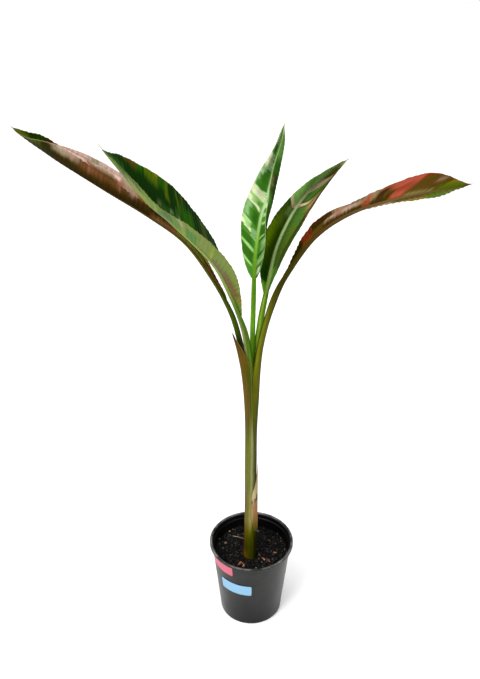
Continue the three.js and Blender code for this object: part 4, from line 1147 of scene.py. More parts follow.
MARKS = {
    "centre_leaf": {
        "upper": ("leaf_green", [
            ("fern", "left", 8, 22, 3, 27, 4), ("fern", "left", 29, 40, 8, 32, 5),
            ("pale_green", "left", 3.5, 7, 5, 25, 1.5), ("pale_green", "left", 23.5, 27.2, 2, 30, 1.3),
            ("silver_green", "left", 40, 54, 2, 12, 1.5), ("pale_green", "left", 48, 60, 13, 34, 1.8),
            ("cream", "left", 46, 49, 12, 26, 1.2), ("cream", "left", 49, 52.5, 25, 34, 1.2),
            ("silver_green", "left", 62, 80, 21, 34, 6), ("fern", "left", 60, 76, 2, 14, 5),
            ("pale_green", "left", 83, 97, 3, 34, 1.6), ("mid_green", "left", 86, 93, 1, 13, 3),
            ("cream", "left", 80, 84, 5, 26, 1.3), ("cream", "left", 80.5, 91, 25, 34, 3),
            ("pale_cream", "left", 95, 108, 1, 34, 1.8), ("cream", "left", 97, 105, 6, 30, 3),
            ("silver_white", "left", 109, 118, 28, 34, 3), ("silver_green", "left", 118, 127, 23, 34, 3),
            ("silver_white", "left", 126, 134, 18, 32, 3), ("silver_green", "left", 132, 140, 10, 30, 2),
            ("silver_white", "left", 138, 161, 2, 12, 2), ("cream", "left", 139, 161, 9, 30, 2),
            ("mid_green", "left", 161, 175, 0, 20, 2.5), ("pale_green", "left", 174, 188, 0, 10, 2.5),
            ("cream", "right", -8, 0, 4, 11, 2), ("pale_green", "right", 4, 12, 3, 24, 2.5),
            ("silver_green", "right", 10, 17, 8, 22, 3), ("fern", "right", 16, 21, 3, 13, 2),
            ("silver_green", "right", 22, 39, 9, 26, 4), ("pale_green", "right", 28, 35, 14, 26, 3),
            ("fern", "right", 40, 60, 2, 16, 5), ("pale_green", "right", 43, 45.5, 4, 14, 1.2),
            ("pale_green", "right", 62, 66, 3, 16, 1.8), ("pale_green", "right", 75, 80, 2, 14, 2),
            ("pale_cream", "right", 88, 97, 1, 14, 2), ("silver_green", "right", 116, 134, 3, 18, 3),
            ("pale_cream", "right", 146, 162, 0, 14, 2),
        ]),
        "under": ("deep_green", [
            ("grey_green", "left", 0, 215, 0, 34, 4), ("silver_green", "left", 82, 111, 1, 34, 2),
            ("silver_green", "left", 139, 162, 2, 30, 3), ("silver_green", "left", 26, 31, 2, 31, 2),
            ("fern", "right", 10, 110, 26, 34, 10), ("fern", "right", 60, 90, 20, 34, 14),
            ("mid_green", "right", 78, 96, 29, 34, 8), ("dusky_rose", "right", 106, 124, 27, 34, 7),
            ("fern", "right", 122, 150, 14, 34, 8), ("mid_green", "right", 148, 240, 0, 34, 12),
        ]),
    },
    "mid_right_leaf": {
        "upper": ("deep_green", [
            ("fresh_green", "left", -20, 10, 0, 14, 8), ("dark_green", "left", 10, 32, 4, 34, 12),
            ("moss", "left", 86, 114, 6, 26, 14), ("leaf_olive", "left", 50, 92, 16, 34, 24),
            ("grey_green", "left", 106, 121, 1, 15, 8), ("apple_green", "left", 124, 240, 0, 40, 2),
            ("straw", "left", 121, 126.5, 4, 40, 1.2), ("pink_tan", "left", 121.5, 127, 0, 6, 1.5),
            ("mid_green", "left", 152, 176, 6, 30, 10), ("dusky_rose", "left", 130, 168, 0, 4, 6),
            ("light_green", "right", -20, 28, 0, 6, 10), ("fern", "right", -20, 34, 4, 12, 10),
            ("dull_green", "right", 34, 124, 4, 20, 8), ("moss", "right", 38, 90, 6, 20, 14),
            ("moss", "right", 98, 112, 13, 20, 8), ("clay", "right", 113, 124, 13, 20, 5),
            ("pink_tan", "right", 124, 129, 1, 12, 1.5), ("dark_olive", "right", 128, 137, 9, 14, 4),
            ("dull_green", "right", 131, 150, 2, 10, 4), ("dusk", "right", 150, 174, 0, 9, 4),
            ("moss", "right", 150, 166, 9, 14, 4), ("dark_brown", "right", 170, 204, 3, 14, 5),
            ("grey_green", "both", 204, 260, 0, 12, 6),
        ]),
        "under": ("deep_green", [
            ("grey_green", "left", -20, 240, 0, 40, 4), ("pink_tan", "left", 121, 126, 1, 40, 2),
            ("dark_olive", "right", 70, 140, 0, 40, 14), ("fern", "right", -20, 12, 0, 40, 8),
            ("brown", "right", 78, 104, 30, 42, 6), ("dark_brown", "right", 165, 220, 0, 40, 8),
        ]),
    },
    "near_left_leaf": {
        "upper": ("dark_green", [
            ("moss", "right", 84, 99, 20, 48, 9), ("fern", "right", 121, 127, 16, 38, 4),
            ("glow_green", "right", 120, 150, 14, 34, 14), ("moss", "right", 138, 146, 34, 46, 5),
            ("leaf_olive", "right", 151, 156, 20, 42, 4), ("leaf_olive", "right", 172, 181, 22, 48, 4),
            ("glow_green", "right", 181, 198, 30, 48, 8), ("leaf_olive", "right", 196, 222, 26, 48, 8),
            ("gold", "right", 198, 205, 35, 48, 4), ("glow_green", "right", 226, 262, 24, 48, 9),
            # the white streaks on the right half, near the midrib, are painted highlights on the midrib's
            # edge
            ("white_streak", "right", 153, 158, 11, 17, 5), ("fern", "right", 152, 160, 14, 24, 6),
            ("white_streak", "right", 167, 173, 8, 14, 5), ("fern", "right", 160, 190, 0, 14, 10),
            ("grey_green", "right", 190, 197, 8, 15, 5), ("grey_green", "right", 250, 290, 0, 5, 10),
            ("sea_green", "right", 262, 350, 0, 9, 14), ("brown", "right", 236, 300, 22, 40, 12),
            ("light_green", "left", 60, 64, 4, 50, 3), ("white_streak", "left", 128, 132, 3, 44, 2),
            ("deep_green", "left", 150, 190, 3, 50, 8), ("pale_green", "left", 214, 219, 2, 40, 2.5),
        ]),
        "under": ("light_green", [
            ("deep_green", "left", -20, 30, 0, 5, 10), ("gold", "left", 0, 14, 10, 26, 8),
            ("clay", "left", 14, 66, 3, 18, 16), ("dusky_rose", "left", 56, 100, 0, 15, 16),
            ("warm_green", "left", 20, 92, 20, 48, 16), ("warm_green", "left", 104, 128, 0, 40, 12),
            ("yellow_green", "left", 95, 101, 5, 42, 5), ("dusky_rose", "left", 96, 102, 0, 6, 5),
            ("mid_green", "left", 128, 150, 4, 34, 12), ("yellow_green", "left", 148, 155, 4, 48, 4),
            ("straw", "left", 151, 156, 28, 46, 4), ("grey_green", "left", 166, 188, 14, 42, 12),
            ("warm_green", "left", 102, 150, 34, 48, 10), ("yellow_green", "left", 195, 201, 8, 36, 5),
            ("yellow_green", "left", 208, 256, 5, 26, 18), ("dusky_rose", "left", 236, 272, 0, 8, 12),
            ("grey_green", "left", 222, 262, 22, 34, 10), ("sea_green", "left", 252, 350, 14, 50, 10),
            ("khaki", "left", 262, 300, 0, 6, 8), ("straw", "right", -20, 50, 0, 50, 8),
            ("yellow_green", "right", 146, 150, 4, 50, 2), ("pale_green", "right", 190, 194, 4, 44, 2),
            ("mid_green", "right", 220, 330, 2, 50, 12),
        ]),
    },
    "far_left_leaf": {
        "upper": ("clay", [
            ("bright_olive", "both", -20, 60, 0, 12, 10), ("red_brown", "right", 148, 164, 12, 21, 6),
            ("pink_tan", "right", 160, 184, 14, 40, 8), ("straw", "right", 164, 180, 28, 44, 6),
            ("pink", "right", 186, 192, 12, 30, 4), ("brown", "right", 194, 230, 8, 27, 10),
            ("pink_tan", "right", 184, 232, 27, 36, 8), ("pink", "right", 232, 238, 12, 28, 5),
            ("pink_tan", "right", 238, 262, 16, 30, 8), ("peach", "right", 184, 270, 33, 44, 5),
            ("pale_blush", "right", 187, 196, 28, 44, 4), ("pale_blush", "right", 240, 262, 26, 44, 6),
            ("pale_blush", "right", 258, 278, 20, 44, 6),
            ("fern", "both", 290, 400, 0, 40, 8), ("deep_green", "both", 300, 350, 2, 12, 14),
            ("leaf_olive", "right", 334, 400, 0, 14, 12), ("brown", "both", 284, 300, 10, 34, 6),
            ("mid_green", "left", 60, 286, 0, 26, 10),
        ]),
        "under": ("umber", [
            ("leaf_olive", "left", -30, 34, 0, 4, 12), ("red_brown", "left", -10, 36, 4, 40, 12),
            ("bright_olive", "left", 36, 100, 1, 14, 12), ("red_brown", "left", 94, 136, 0, 8, 10),
            ("clay", "left", 112, 130, 1, 6, 8),
            ("russet", "left", 136, 300, 10, 44, 16), ("red_brown", "left", 148, 250, 17, 44, 12),
            ("pink_tan", "left", 163, 173, 14, 24, 6), ("pink", "left", 187, 191, 12, 26, 5),
            ("pink", "left", 232, 236, 16, 26, 6), ("tan", "left", 248, 282, 19, 30, 8),
            ("blush", "left", 252, 280, 22, 46, 9), ("straw", "left", 268, 290, 21, 28, 7),
            ("pale_blush", "left", 180, 300, 29, 46, 5), ("straw", "left", 222, 237, 30, 38, 7),
            ("dark_olive", "left", 256, 350, 9, 19, 14), ("dark_olive", "left", 294, 350, 0, 44, 12),
            ("leaf_olive", "left", 308, 400, 14, 40, 12), ("mid_green", "left", 346, 400, 0, 40, 8),
            ("brown", "right", 60, 300, 0, 26, 12), ("pink_tan", "right", 120, 290, 22, 44, 10),
            ("dark_olive", "right", 300, 380, 0, 40, 8),
        ]),
    },
    "far_right_leaf": {
        "upper": ("dark_olive", [
            ("orange_red", "left", 58, 78, 5, 30, 5), ("tan", "left", 104, 200, 3, 30, 8),
            ("dark_brown", "left", 80, 110, 16, 30, 6), ("khaki", "left", 200, 330, 0, 30, 10),
            ("brown", "right", 60, 180, 2, 30, 8), ("pink_red", "right", 184, 208, 2, 30, 4),
            ("olive", "right", 208, 330, 0, 30, 6),
        ]),
        "under": ("olive", [
            ("dark_olive", "both", -20, 60, 0, 30, 8), ("dark_olive", "left", 50, 100, 0, 30, 10),
            ("brown", "left", 90, 150, 0, 30, 10), ("tan", "left", 156, 200, 0, 30, 8),
            ("gold", "left", 190, 240, 7, 30, 10), ("brown", "left", 196, 244, 0, 8, 10),
            ("leaf_olive", "left", 236, 290, 4, 30, 10), ("dark_brown", "both", 288, 330, 0, 20, 6),
            ("orange_red", "right", 59, 78, 3, 30, 5), ("brown", "right", 78, 104, 0, 30, 8),
            ("tan", "right", 100, 168, 6, 30, 6), ("blush", "right", 110, 150, 7, 13, 8),
            ("clay", "right", 128, 160, 15, 24, 8), ("pink", "right", 120, 127, 5, 14, 5),
            ("dark_brown", "right", 98, 188, 0, 5.5, 4), ("tan", "right", 162, 176, 8, 30, 5),
            ("rose_red", "right", 161, 168, 9, 17, 4), ("pink_red", "right", 158, 167, 2, 10, 4),
            ("dark_brown", "right", 174, 192, 2, 20, 6), ("brown", "right", 182, 188, 6, 20, 4),
            ("pink_red", "right", 191, 209, 1, 30, 3), ("rose_red", "right", 190, 207, 17, 30, 5),
            ("rose_red", "right", 193, 206, 2, 8, 5), ("rose_red", "right", 184, 193, 14, 30, 4),
            ("rose_red", "right", 176, 186, 21, 30, 4), ("brown", "right", 209, 250, 3, 16, 6),
            ("khaki", "right", 208, 244, 0, 3.5, 4), ("orange_red", "right", 206, 222, 19, 30, 7),
            ("brown", "right", 224, 252, 12, 30, 6), ("tan", "right", 230, 240, 13, 18, 6),
            ("leaf_olive", "right", 248, 292, 1, 9, 8), ("gold", "right", 254, 284, 9, 20, 7),
            ("dark_brown", "right", 286, 330, 0, 20, 5),
        ]),
    },
}
print("marks:", sum(len(faces[side][1]) for faces in MARKS.values() for side in faces))

# %% [markdown]
# ## Leaf skin
#
# Under the painted sectors a leaf has its own texture: side veins about a millimetre apart, streaks
# of lighter and darker green between them, and a skin with a soft sheen that is duller on the
# underside. The material reads the vein number and the distance out as an attribute, so its streaks
# and ribs bend with the leaf.

# %% Leaf skin
RIB_TURN = 5.2  # radians of the ribs' sine for each millimetre, so a rib every 1.2 mm


def leaf_skin(name, gloss, shine, rib_depth):
    """A skin for one face of a blade, with its roughness, its reflection and its ribs in millimetres."""
    skin = Finish(name, Roughness=gloss, Specular_IOR_Level=shine)
    paint = skin.attribute("paint").outputs["Color"]
    veins = skin.attribute("veins").outputs["Vector"]
    streaks = skin.drawn_out(veins, (0.55, 0.035, 1), 5.0, 0.6)
    hairs = skin.drawn_out(veins, (2.6, 0.12, 1), 3.0)
    wobble = skin.math("MULTIPLY", hairs, 0.5)
    number = skin.node("SeparateXYZ", Vector=veins).outputs["X"]
    ribs = skin.math("SINE", skin.math("MULTIPLY", skin.math("ADD", number, wobble), RIB_TURN), 0.0)
    light = skin.between(streaks, 0.25, 0.75, 0.78, 1.22)
    light = skin.math("ADD", light, skin.math("MULTIPLY", ribs, 0.04))
    skin.colour(skin.shaded(paint, light))
    skin.roughness(skin.between(streaks, 0.3, 0.7, gloss - 0.06, gloss + 0.08))
    height = skin.math("ADD", skin.math("MULTIPLY", ribs, 0.35), hairs)
    skin.relief(height, rib_depth)
    return skin.material


upper_skin = leaf_skin("leaf_upper_skin", 0.4, 0.03, 0.07)
under_skin = leaf_skin("leaf_under_skin", 0.5, 0.02, 0.12)
print("two skins, shared by all leaves")

# %% [markdown]
# The midrib and the margin are painted last. On the upper face the midrib is a pale channel, and on
# the underside it is the keel, which is part of the stalk's own piece. The margin is a dry line less
# than a millimetre wide.

# %% Blades
RIB_WIDTHS = (2.6, 1.1)  # millimetres to each side of the midrib, at the base and at the tip
RIB_EDGE = 0.4  # the share of that width over which the midrib's colour is full
MARGIN_WIDTH, MARGIN_EDGE, MARGIN_SHARE = 0.9, 0.2, 0.8  # millimetres, the same share, and its strength
THINNEST, THICKER = 0.28, 0.34  # a blade's thickness at the margin, and how much more at the midrib
BLADES_APART = 40.0  # how far apart two blades lie in their noise
PLEAT_TURN = 0.9  # radians of the pleats' sine for each millimetre up the blade
RIBS = {  # midrib colours from the base of the blade to its tip, and the margin's colour
    "centre_leaf": ([(98, 150, 22), (140, 184, 76), (196, 218, 168), (188, 212, 154), (186, 206, 140)],
                    (170, 190, 126)),
    "mid_right_leaf": ([(120, 156, 50), (178, 204, 130), (188, 210, 150), (140, 138, 104), (112, 96, 58)],
                       (92, 70, 42)),
    "near_left_leaf": ([(130, 150, 60), (150, 164, 92), (156, 170, 104), (150, 160, 104), (120, 146, 104)],
                       (120, 104, 50)),
    "far_left_leaf": ([(100, 92, 34), (100, 78, 36), (84, 58, 22), (70, 56, 14), (72, 80, 14)],
                      (168, 128, 104)),
    "far_right_leaf": ([(60, 54, 14), (84, 62, 22), (112, 84, 48), (128, 108, 62), (96, 66, 24)],
                       (120, 56, 34)),
}
KEELS = {  # how bright the keel under the blade is beside the midrib's upper face
    "centre_leaf": 0.5, "mid_right_leaf": 0.5, "near_left_leaf": 0.8, "far_left_leaf": 0.75,
    "far_right_leaf": 0.6,
}
RIPPLE = {  # millimetres of pleat, buckle and margin wave
    "centre_leaf": (0.16, 0.35, 0.5), "mid_right_leaf": (0.2, 0.4, 0.7),
    "near_left_leaf": (0.3, 0.8, 1.0), "far_left_leaf": (0.3, 0.7, 0.9),
    "far_right_leaf": (0.45, 0.7, 1.2),
}
SLOTS = {
    "centre_leaf": "variegated_leaf", "mid_right_leaf": "green_leaf", "near_left_leaf": "dark_leaf",
    "far_left_leaf": "pink_brown_leaf", "far_right_leaf": "red_brown_leaf",
}


def rippled(leaf_name, surface, up_blade, out, width, seed):
    """The surface moved along its normals by pleats, a buckle and a wave of the margin.

    The pleats are a sine of the vein number, 7 mm apart. They and the buckle fade to nothing at the
    midrib, and the wave grows with the cube of the share out."""
    pleat, buckle, wave = RIPPLE[leaf_name]
    vein = vein_numbers(leaf_name, up_blade, out)
    share = np.abs(out) / width
    away = smooth(np.abs(out) / 9) * smooth(width / 12)
    lift = pleat * np.sin(vein * PLEAT_TURN + 1.5 * noise(vein / 20, share * 2, seed)) * away
    lift += buckle * noise(vein / 19, out / 22, seed + 3) * away
    lift += wave * share**3 * noise(vein / 8, np.sign(out) * 3.5, seed + 4) * smooth(width / 12)
    return surface + lift[..., None] * normals(surface)


def with_rib_and_margin(leaf_name, shades, up_blade, out, width, rib_share):
    """Lays the midrib's colour within a millimetre or two of it, and the margin's at the very edge."""
    rib_stops, margin = RIBS[leaf_name]
    t = up_blade / up_blade.max()
    rib_width = RIB_WIDTHS[0] + (RIB_WIDTHS[1] - RIB_WIDTHS[0]) * t
    near_rib = rib_share * (1 - smooth(np.abs(out) / rib_width - RIB_EDGE))
    near_margin = 1 - smooth((width - np.abs(out)) / MARGIN_WIDTH - MARGIN_EDGE)
    near_margin = MARGIN_SHARE * near_margin * smooth(width / 6)
    shades = laid_over(shades, near_rib, pigments_along(rib_stops, t))
    return laid_over(shades, near_margin, pigment(margin))


for seed, (name, leaf) in enumerate(LEAVES.items()):
    surface, up_blade, out, width = blade_surface(leaf)
    surface = rippled(name, surface, up_blade, out, width, 40 + 7 * seed)
    thickness = THINNEST + THICKER * (1 - smooth(np.abs(out) / width))
    offset = thickness[..., None] / 2 * normals(surface)
    points, faces = closed_sheet(surface + offset, surface - offset)
    blade = add_piece(name + "_blade", points, faces, upper_skin, SLOTS[name], name)
    blade.data.materials.append(under_skin)
    upper_quads = (surface.shape[0] - 1) * (surface.shape[1] - 1)
    skin_index = (np.arange(len(blade.data.polygons)) >= upper_quads).astype(np.int32)
    blade.data.polygons.foreach_set("material_index", skin_index)
    shades = []
    for face, rib_share in (("upper", 1.0), ("under", 0.5)):
        paint = painted(name, *MARKS[name][face], up_blade, out, 200 + 11 * seed)
        paint = lit_and_shaded(name, face, paint, out)
        shades.append(with_rib_and_margin(name, paint, up_blade, out, width, rib_share).reshape(-1, 3))
    give(blade, "paint", np.concatenate(shades))
    vein = vein_numbers(name, up_blade, out)
    place = np.stack([vein, out, np.full(out.shape, BLADES_APART * seed)], axis=-1).reshape(-1, 3)
    give(blade, "veins", np.concatenate([place, place]))

# %% [markdown]
# ## Stalk skin
#
# Sheath and stalk are smooth and finely ribbed along their length. Their colour changes with height,
# and round them it changes from the lit side to the shaded side and the dried edge: the pale stripes on
# the lit side, the light streaks down the front and the dark stripes at the sides and low on the right
# are painted light and shade. So a piece gets a colour for each of a few heights, then soft stripes, and
# last a factor of painted light and shade as the blades do. A stripe is a range of turn round the
# plant, where 180 degrees is its left, 270 its front and 360 its right, and a range of heights in
# millimetres.

# %% Stalk colours
STALK_HEIGHTS = [88, 180, 300, 400, 480, 560, 640]  # millimetres up, with a colour for each below
STALK_COLOURS = {
    "centre_leaf": [(110, 140, 40), (110, 140, 46), (110, 150, 46), (110, 160, 24), (116, 172, 34),
                    (112, 172, 34), (96, 150, 26)],
    "mid_right_leaf": [(100, 130, 36), (104, 134, 40), (104, 140, 40), (96, 136, 18), (98, 144, 24),
                       (96, 142, 26), (84, 128, 24)],
    "near_left_leaf": [(100, 120, 40), (110, 130, 50), (110, 130, 50), (84, 112, 22), (92, 124, 30),
                       (84, 122, 26), (84, 116, 36)],
    "far_left_leaf": [(90, 100, 30), (90, 100, 30), (90, 96, 30), (80, 84, 14), (74, 92, 6),
                      (66, 90, 4), (72, 82, 10)],
    "far_right_leaf": [(60, 58, 4), (74, 80, 28), (92, 108, 46), (90, 98, 10), (112, 112, 4),
                       (114, 114, 4), (72, 66, 4)],
}
STALK_LIGHT_AND_SHADE = {  # painted light and shade: the factor on each piece's colour, below 1 painted shade
    "centre_leaf": 1.0, "mid_right_leaf": 0.68, "near_left_leaf": 0.6, "far_left_leaf": 0.62,
    "far_right_leaf": 0.5, "old_sheath": 0.62, "dry_sheath": 0.95,
}
STRIPES = {  # colour, first and last turn, lowest and highest place, softness of each
    "centre_leaf": [
        # the pale stripe on the left is painted light on the lit side, the dark one on the right painted
        # shade
        ((150, 196, 80), 196, 226, 420, 660, 24, 60), ((70, 122, 8), 300, 372, 420, 650, 30, 60),
    ],
    "mid_right_leaf": [
        # the pale stripe on the left is painted light on the lit side, the dark one on the right painted
        # shade
        ((156, 200, 60), 196, 240, 420, 630, 24, 60), ((58, 92, 2), 290, 372, 400, 620, 40, 60),
    ],
    "near_left_leaf": [
        # the second stripe, dark on the right, is painted shade
        ((160, 152, 104), 196, 240, 452, 590, 36, 50), ((60, 90, 4), 306, 372, 400, 600, 34, 60),
        ((170, 160, 56), 320, 372, 548, 566, 30, 14),
    ],
    "far_left_leaf": [
        ((100, 70, 26), 160, 208, 440, 640, 30, 50), ((88, 58, 22), 318, 372, 480, 640, 30, 50),
        ((54, 60, 2), 270, 372, 400, 500, 40, 40),
    ],
    "far_right_leaf": [
        # the pale streak down the front is a painted highlight, the dark stripes at both sides are painted
        # shade, and the last, near black low on the right, is a painted shadow
        ((132, 140, 26), 258, 284, 486, 600, 24, 50), ((60, 54, 2), 200, 244, 500, 690, 30, 60),
        ((56, 66, 2), 322, 372, 120, 640, 30, 60), ((92, 56, 40), 318, 372, 280, 360, 20, 40),
        ((54, 52, 1), 290, 372, 88, 176, 50, 40),
    ],
    "old_sheath": [
        ((84, 84, 24), 160, 206, 200, 450, 40, 60), ((104, 82, 32), 226, 262, 388, 476, 24, 50),
        ((116, 82, 14), 160, 232, 436, 500, 40, 40), ((76, 86, 16), 262, 310, 384, 500, 24, 40),
        # these two pale stripes down the front are a painted highlight
        ((134, 136, 74), 258, 292, 215, 400, 30, 60), ((154, 156, 104), 268, 280, 235, 372, 14, 60),
        ((156, 146, 84), 252, 276, 190, 262, 22, 30), ((84, 90, 48), 290, 312, 230, 400, 16, 60),
        # the second stripe here, near black low on the front right, is a painted shadow
        ((106, 54, 30), 160, 208, 222, 264, 24, 14), ((58, 58, 1), 288, 330, 88, 190, 44, 34),
        ((116, 52, 10), 120, 212, 128, 192, 26, 26), ((120, 88, 8), 160, 244, 108, 132, 30, 16),
    ],
    "dry_sheath": [
        ((176, 160, 120), 262, 296, 240, 290, 20, 16), ((150, 152, 84), 268, 283, 186, 240, 12, 20),
        ((150, 126, 88), 330, 372, 250, 350, 24, 20), ((140, 96, 42), 334, 372, 180, 240, 24, 20),
        ((16, 10, 6), 278, 286, 240, 247, 5, 4), ((16, 10, 6), 298, 350, 242, 247, 12, 3),
        ((16, 10, 6), 322, 352, 244, 256, 14, 6),
    ],
}


def striped(name, shades, turn, height):
    """A piece's stripes laid over its colours, and all of it times the piece's painted light and shade.

    A stripe covers a band of turns and a band of heights, and both waver a little."""
    t, z = turn + 3 * noise(height / 14, turn / 40, 91), height + 4 * noise(turn / 5, height / 60, 92)
    for screen, t0, t1, z0, z1, soft_t, soft_z in STRIPES[name]:
        share = band(t, t0, t1, soft_t) * band(z, z0, z1, soft_z)
        shades = laid_over(shades, share, pigment(screen))
    return STALK_LIGHT_AND_SHADE[name] * shades


def by_height(heights, colours, height):
    """The colour at each height, on a smooth curve through the colours at the listed heights."""
    place = np.interp(height, heights, np.linspace(0, 1, len(heights)))
    return np.clip(pigments_along(colours, place), 0, 1)


print("stripes:", sum(len(stripes) for stripes in STRIPES.values()))

# %% [markdown]
# The stalks share one skin. Its streaks and ribs are noises that are a hundred times longer along the
# stalk than across it, read from an attribute that holds the way round and the way up. Under the
# blade the stalk is the midrib's keel, so there it takes the midrib's colour.

# %% Stalks


def stalk_skin(name, gloss, shine, rib_depth):
    """A skin with streaks and ribs that run along the stalk."""
    skin = Finish(name, Roughness=gloss, Specular_IOR_Level=shine)
    paint = skin.attribute("paint").outputs["Color"]
    grain = skin.attribute("grain").outputs["Vector"]
    streaks = skin.drawn_out(grain, (0.5, 0.012, 1), 5.0, 0.6)
    ribs = skin.drawn_out(grain, (2.2, 0.02, 1), 2.0)
    spots = skin.drawn_out(grain, (0.3, 0.09, 1), 4.0, 0.6)
    light = skin.math("MULTIPLY", skin.between(streaks, 0.3, 0.7, 0.8, 1.2),
                      skin.between(spots, 0.3, 0.7, 0.9, 1.1))
    skin.colour(skin.shaded(paint, light))
    skin.roughness(skin.between(streaks, 0.3, 0.7, gloss - 0.05, gloss + 0.1))
    skin.relief(ribs, rib_depth)
    return skin.material


AROUND = 40  # how long the way round a stalk counts in its grain
STALKS_APART = 30.0  # how far apart two stalks lie in their noise
UNDER_BLADE = 0.7  # the share of the midrib's colour on the keel
green_stalk = stalk_skin("stalk_skin", 0.4, 0.04, 0.2)
for seed, (name, leaf) in enumerate(LEAVES.items()):
    rings, distance, angle = stalk_surface(leaf)
    points, faces = closed_tube(rings)
    stalk = add_piece(name + "_stalk", points, faces, green_stalk, SLOTS[name], name)
    height = rings[..., 2]
    turn = (leaf["azimuth"] + 270 - np.degrees(angle) - 90) % 360 + 90
    shades = striped(name, by_height(STALK_HEIGHTS, STALK_COLOURS[name], height), turn, height)
    t = np.clip((distance - leaf["from"]) / (leaf["midrib"].length - leaf["from"]), 0, 1)
    under_blade = UNDER_BLADE * smooth((distance - leaf["from"] - 10) / 60)
    shades = laid_over(shades, under_blade, KEELS[name] * pigments_along(RIBS[name][0], t))
    around = np.abs(angle) / (2 * np.pi) * AROUND
    own = STALKS_APART * seed
    grain = np.stack([around, distance, np.full(around.shape, own)], axis=-1).reshape(-1, 3)
    ends = [[AROUND / 2, 0.0, own], [AROUND / 2, distance.max(), own]]
    give(stalk, "grain", np.concatenate([grain, ends]))
    give(stalk, "paint", np.concatenate([shades.reshape(-1, 3), shades[[0, -1], 0]]))

# %% [markdown]
# ## What is left of two older leaves
#
# A banana plant sheds its oldest leaves and keeps their sheaths as a papery wrap. On this trunk a tan
# sheath covers the left side, with its edge running down the front and a cut stub at the top, and a
# drier one lies low on the right. Each is a thin shell round the trunk between two angles that change
# with height. It thins to a papery edge, which a constant Solidify would not do.

# %% Old sheaths
SHEATH_ROWS, SHEATH_COLUMNS = 240, 49
RAGGED = 1.6  # degrees that the width between the edges strays by
EDGE_TURN = 14  # degrees from an edge at which the shell has its full thickness
EDGE_LOSS = 0.7  # the share of the thickness that is lost at the edge
ROLLED, UNEVEN = 0.45, 0.12  # millimetres that the edge rolls outwards and that the shell wavers by
DRY_EDGE, DRY_FROM, DRY_OVER = (186, 172, 116), 330, 60  # the last edge: colour, and where it sets in
BURNT, BURNT_DEPTH = (58, 38, 26), 9  # the cut top: colour, and how far down it reaches
SHEATHS_APART = 500.0  # where the sheaths lie in their noise, away from the stalks
OLD_SHEATHS = {
    "old_sheath": {
        "path": [(-3.4, -6, 440), (-7.6, -7, 487), (-13.9, -8.5, 526), (-21, -10, 558)], "foot": FOOT,
        "top": 558, "radius": 9.15, "thickness": 0.75, "slot": "tan_sheath",
        "edges": [(95, 300), (96, 300), (98, 302), (100, 304), (102, 307), (105, 310), (108, 303),
                  (113, 290), (118, 281), (130, 284), (146, 300), (157, 290), (168, 224)],
        "heights": [110, 150, 178, 202, 240, 290, 340, 390, 437, 482, 520, 558],
        "colours": [(76, 76, 2), (72, 76, 1), (96, 96, 8), (126, 116, 56), (122, 114, 54), (114, 118, 50),
                    (112, 118, 42), (102, 106, 36), (98, 96, 28), (94, 86, 14), (106, 82, 16),
                    (84, 54, 20)],
    },
    "dry_sheath": {
        "path": [], "foot": 180, "top": 342, "radius": 10.25, "thickness": 0.7, "slot": "dry_sheath",
        "edges": [(300, 335), (279, 362), (276, 366), (283, 366), (318, 366), (336, 362), (348, 357)],
        "heights": [180, 196, 215, 240, 252, 290, 342],
        "colours": [(74, 70, 6), (104, 84, 30), (140, 100, 66), (150, 112, 80), (172, 152, 112),
                    (150, 128, 88), (104, 72, 44)],
    },
}


def sheath_surface(sheath, lift):
    """Rows up the shell and columns round it; lift adds to the radius, less towards every edge.

    The radius is the trunk's, wider towards the foot by the smooth flare. The last point of each row
    rolls outwards a little, as dry edges do."""
    curve = Midrib(sheath["path"])
    low, high = curve.at_height(sheath["foot"]), curve.at_height(sheath["top"])
    t = np.linspace(0, 1, SHEATH_ROWS)
    distance = low + (high - low) * t
    centre = curve.at(distance)
    flare = FLARE * (1 - smooth(distance / curve.at_height(FLARE_TOP)))
    first, last = along(np.array(sheath["edges"], float), t).T
    share = np.linspace(0, 1, SHEATH_COLUMNS)
    ragged = RAGGED * noise(t * 16, 0 * t, 71)[:, None] * (share - 0.5)
    turn = np.radians(first[:, None] + (last - first)[:, None] * share + ragged)
    edge = np.minimum(share, 1 - share) * (last - first)[:, None] / EDGE_TURN
    papery = smooth(edge) * smooth((1 - t)[:, None] * 60 + 0.35)
    radius = (sheath["radius"] * (1 + flare))[:, None] + UNEVEN * noise(turn * 6, t[:, None] * 9, 72)
    radius = radius + lift * (1 - EDGE_LOSS + EDGE_LOSS * papery) + ROLLED * (1 - smooth(edge * 1.5))
    ring = [centre[:, :1] + radius * np.cos(turn), centre[:, 1:2] + radius * np.sin(turn)]
    points = np.stack([*ring, centre[:, 2:] + 0 * turn], axis=-1)
    return points, turn, distance[:, None] + 0 * turn, edge


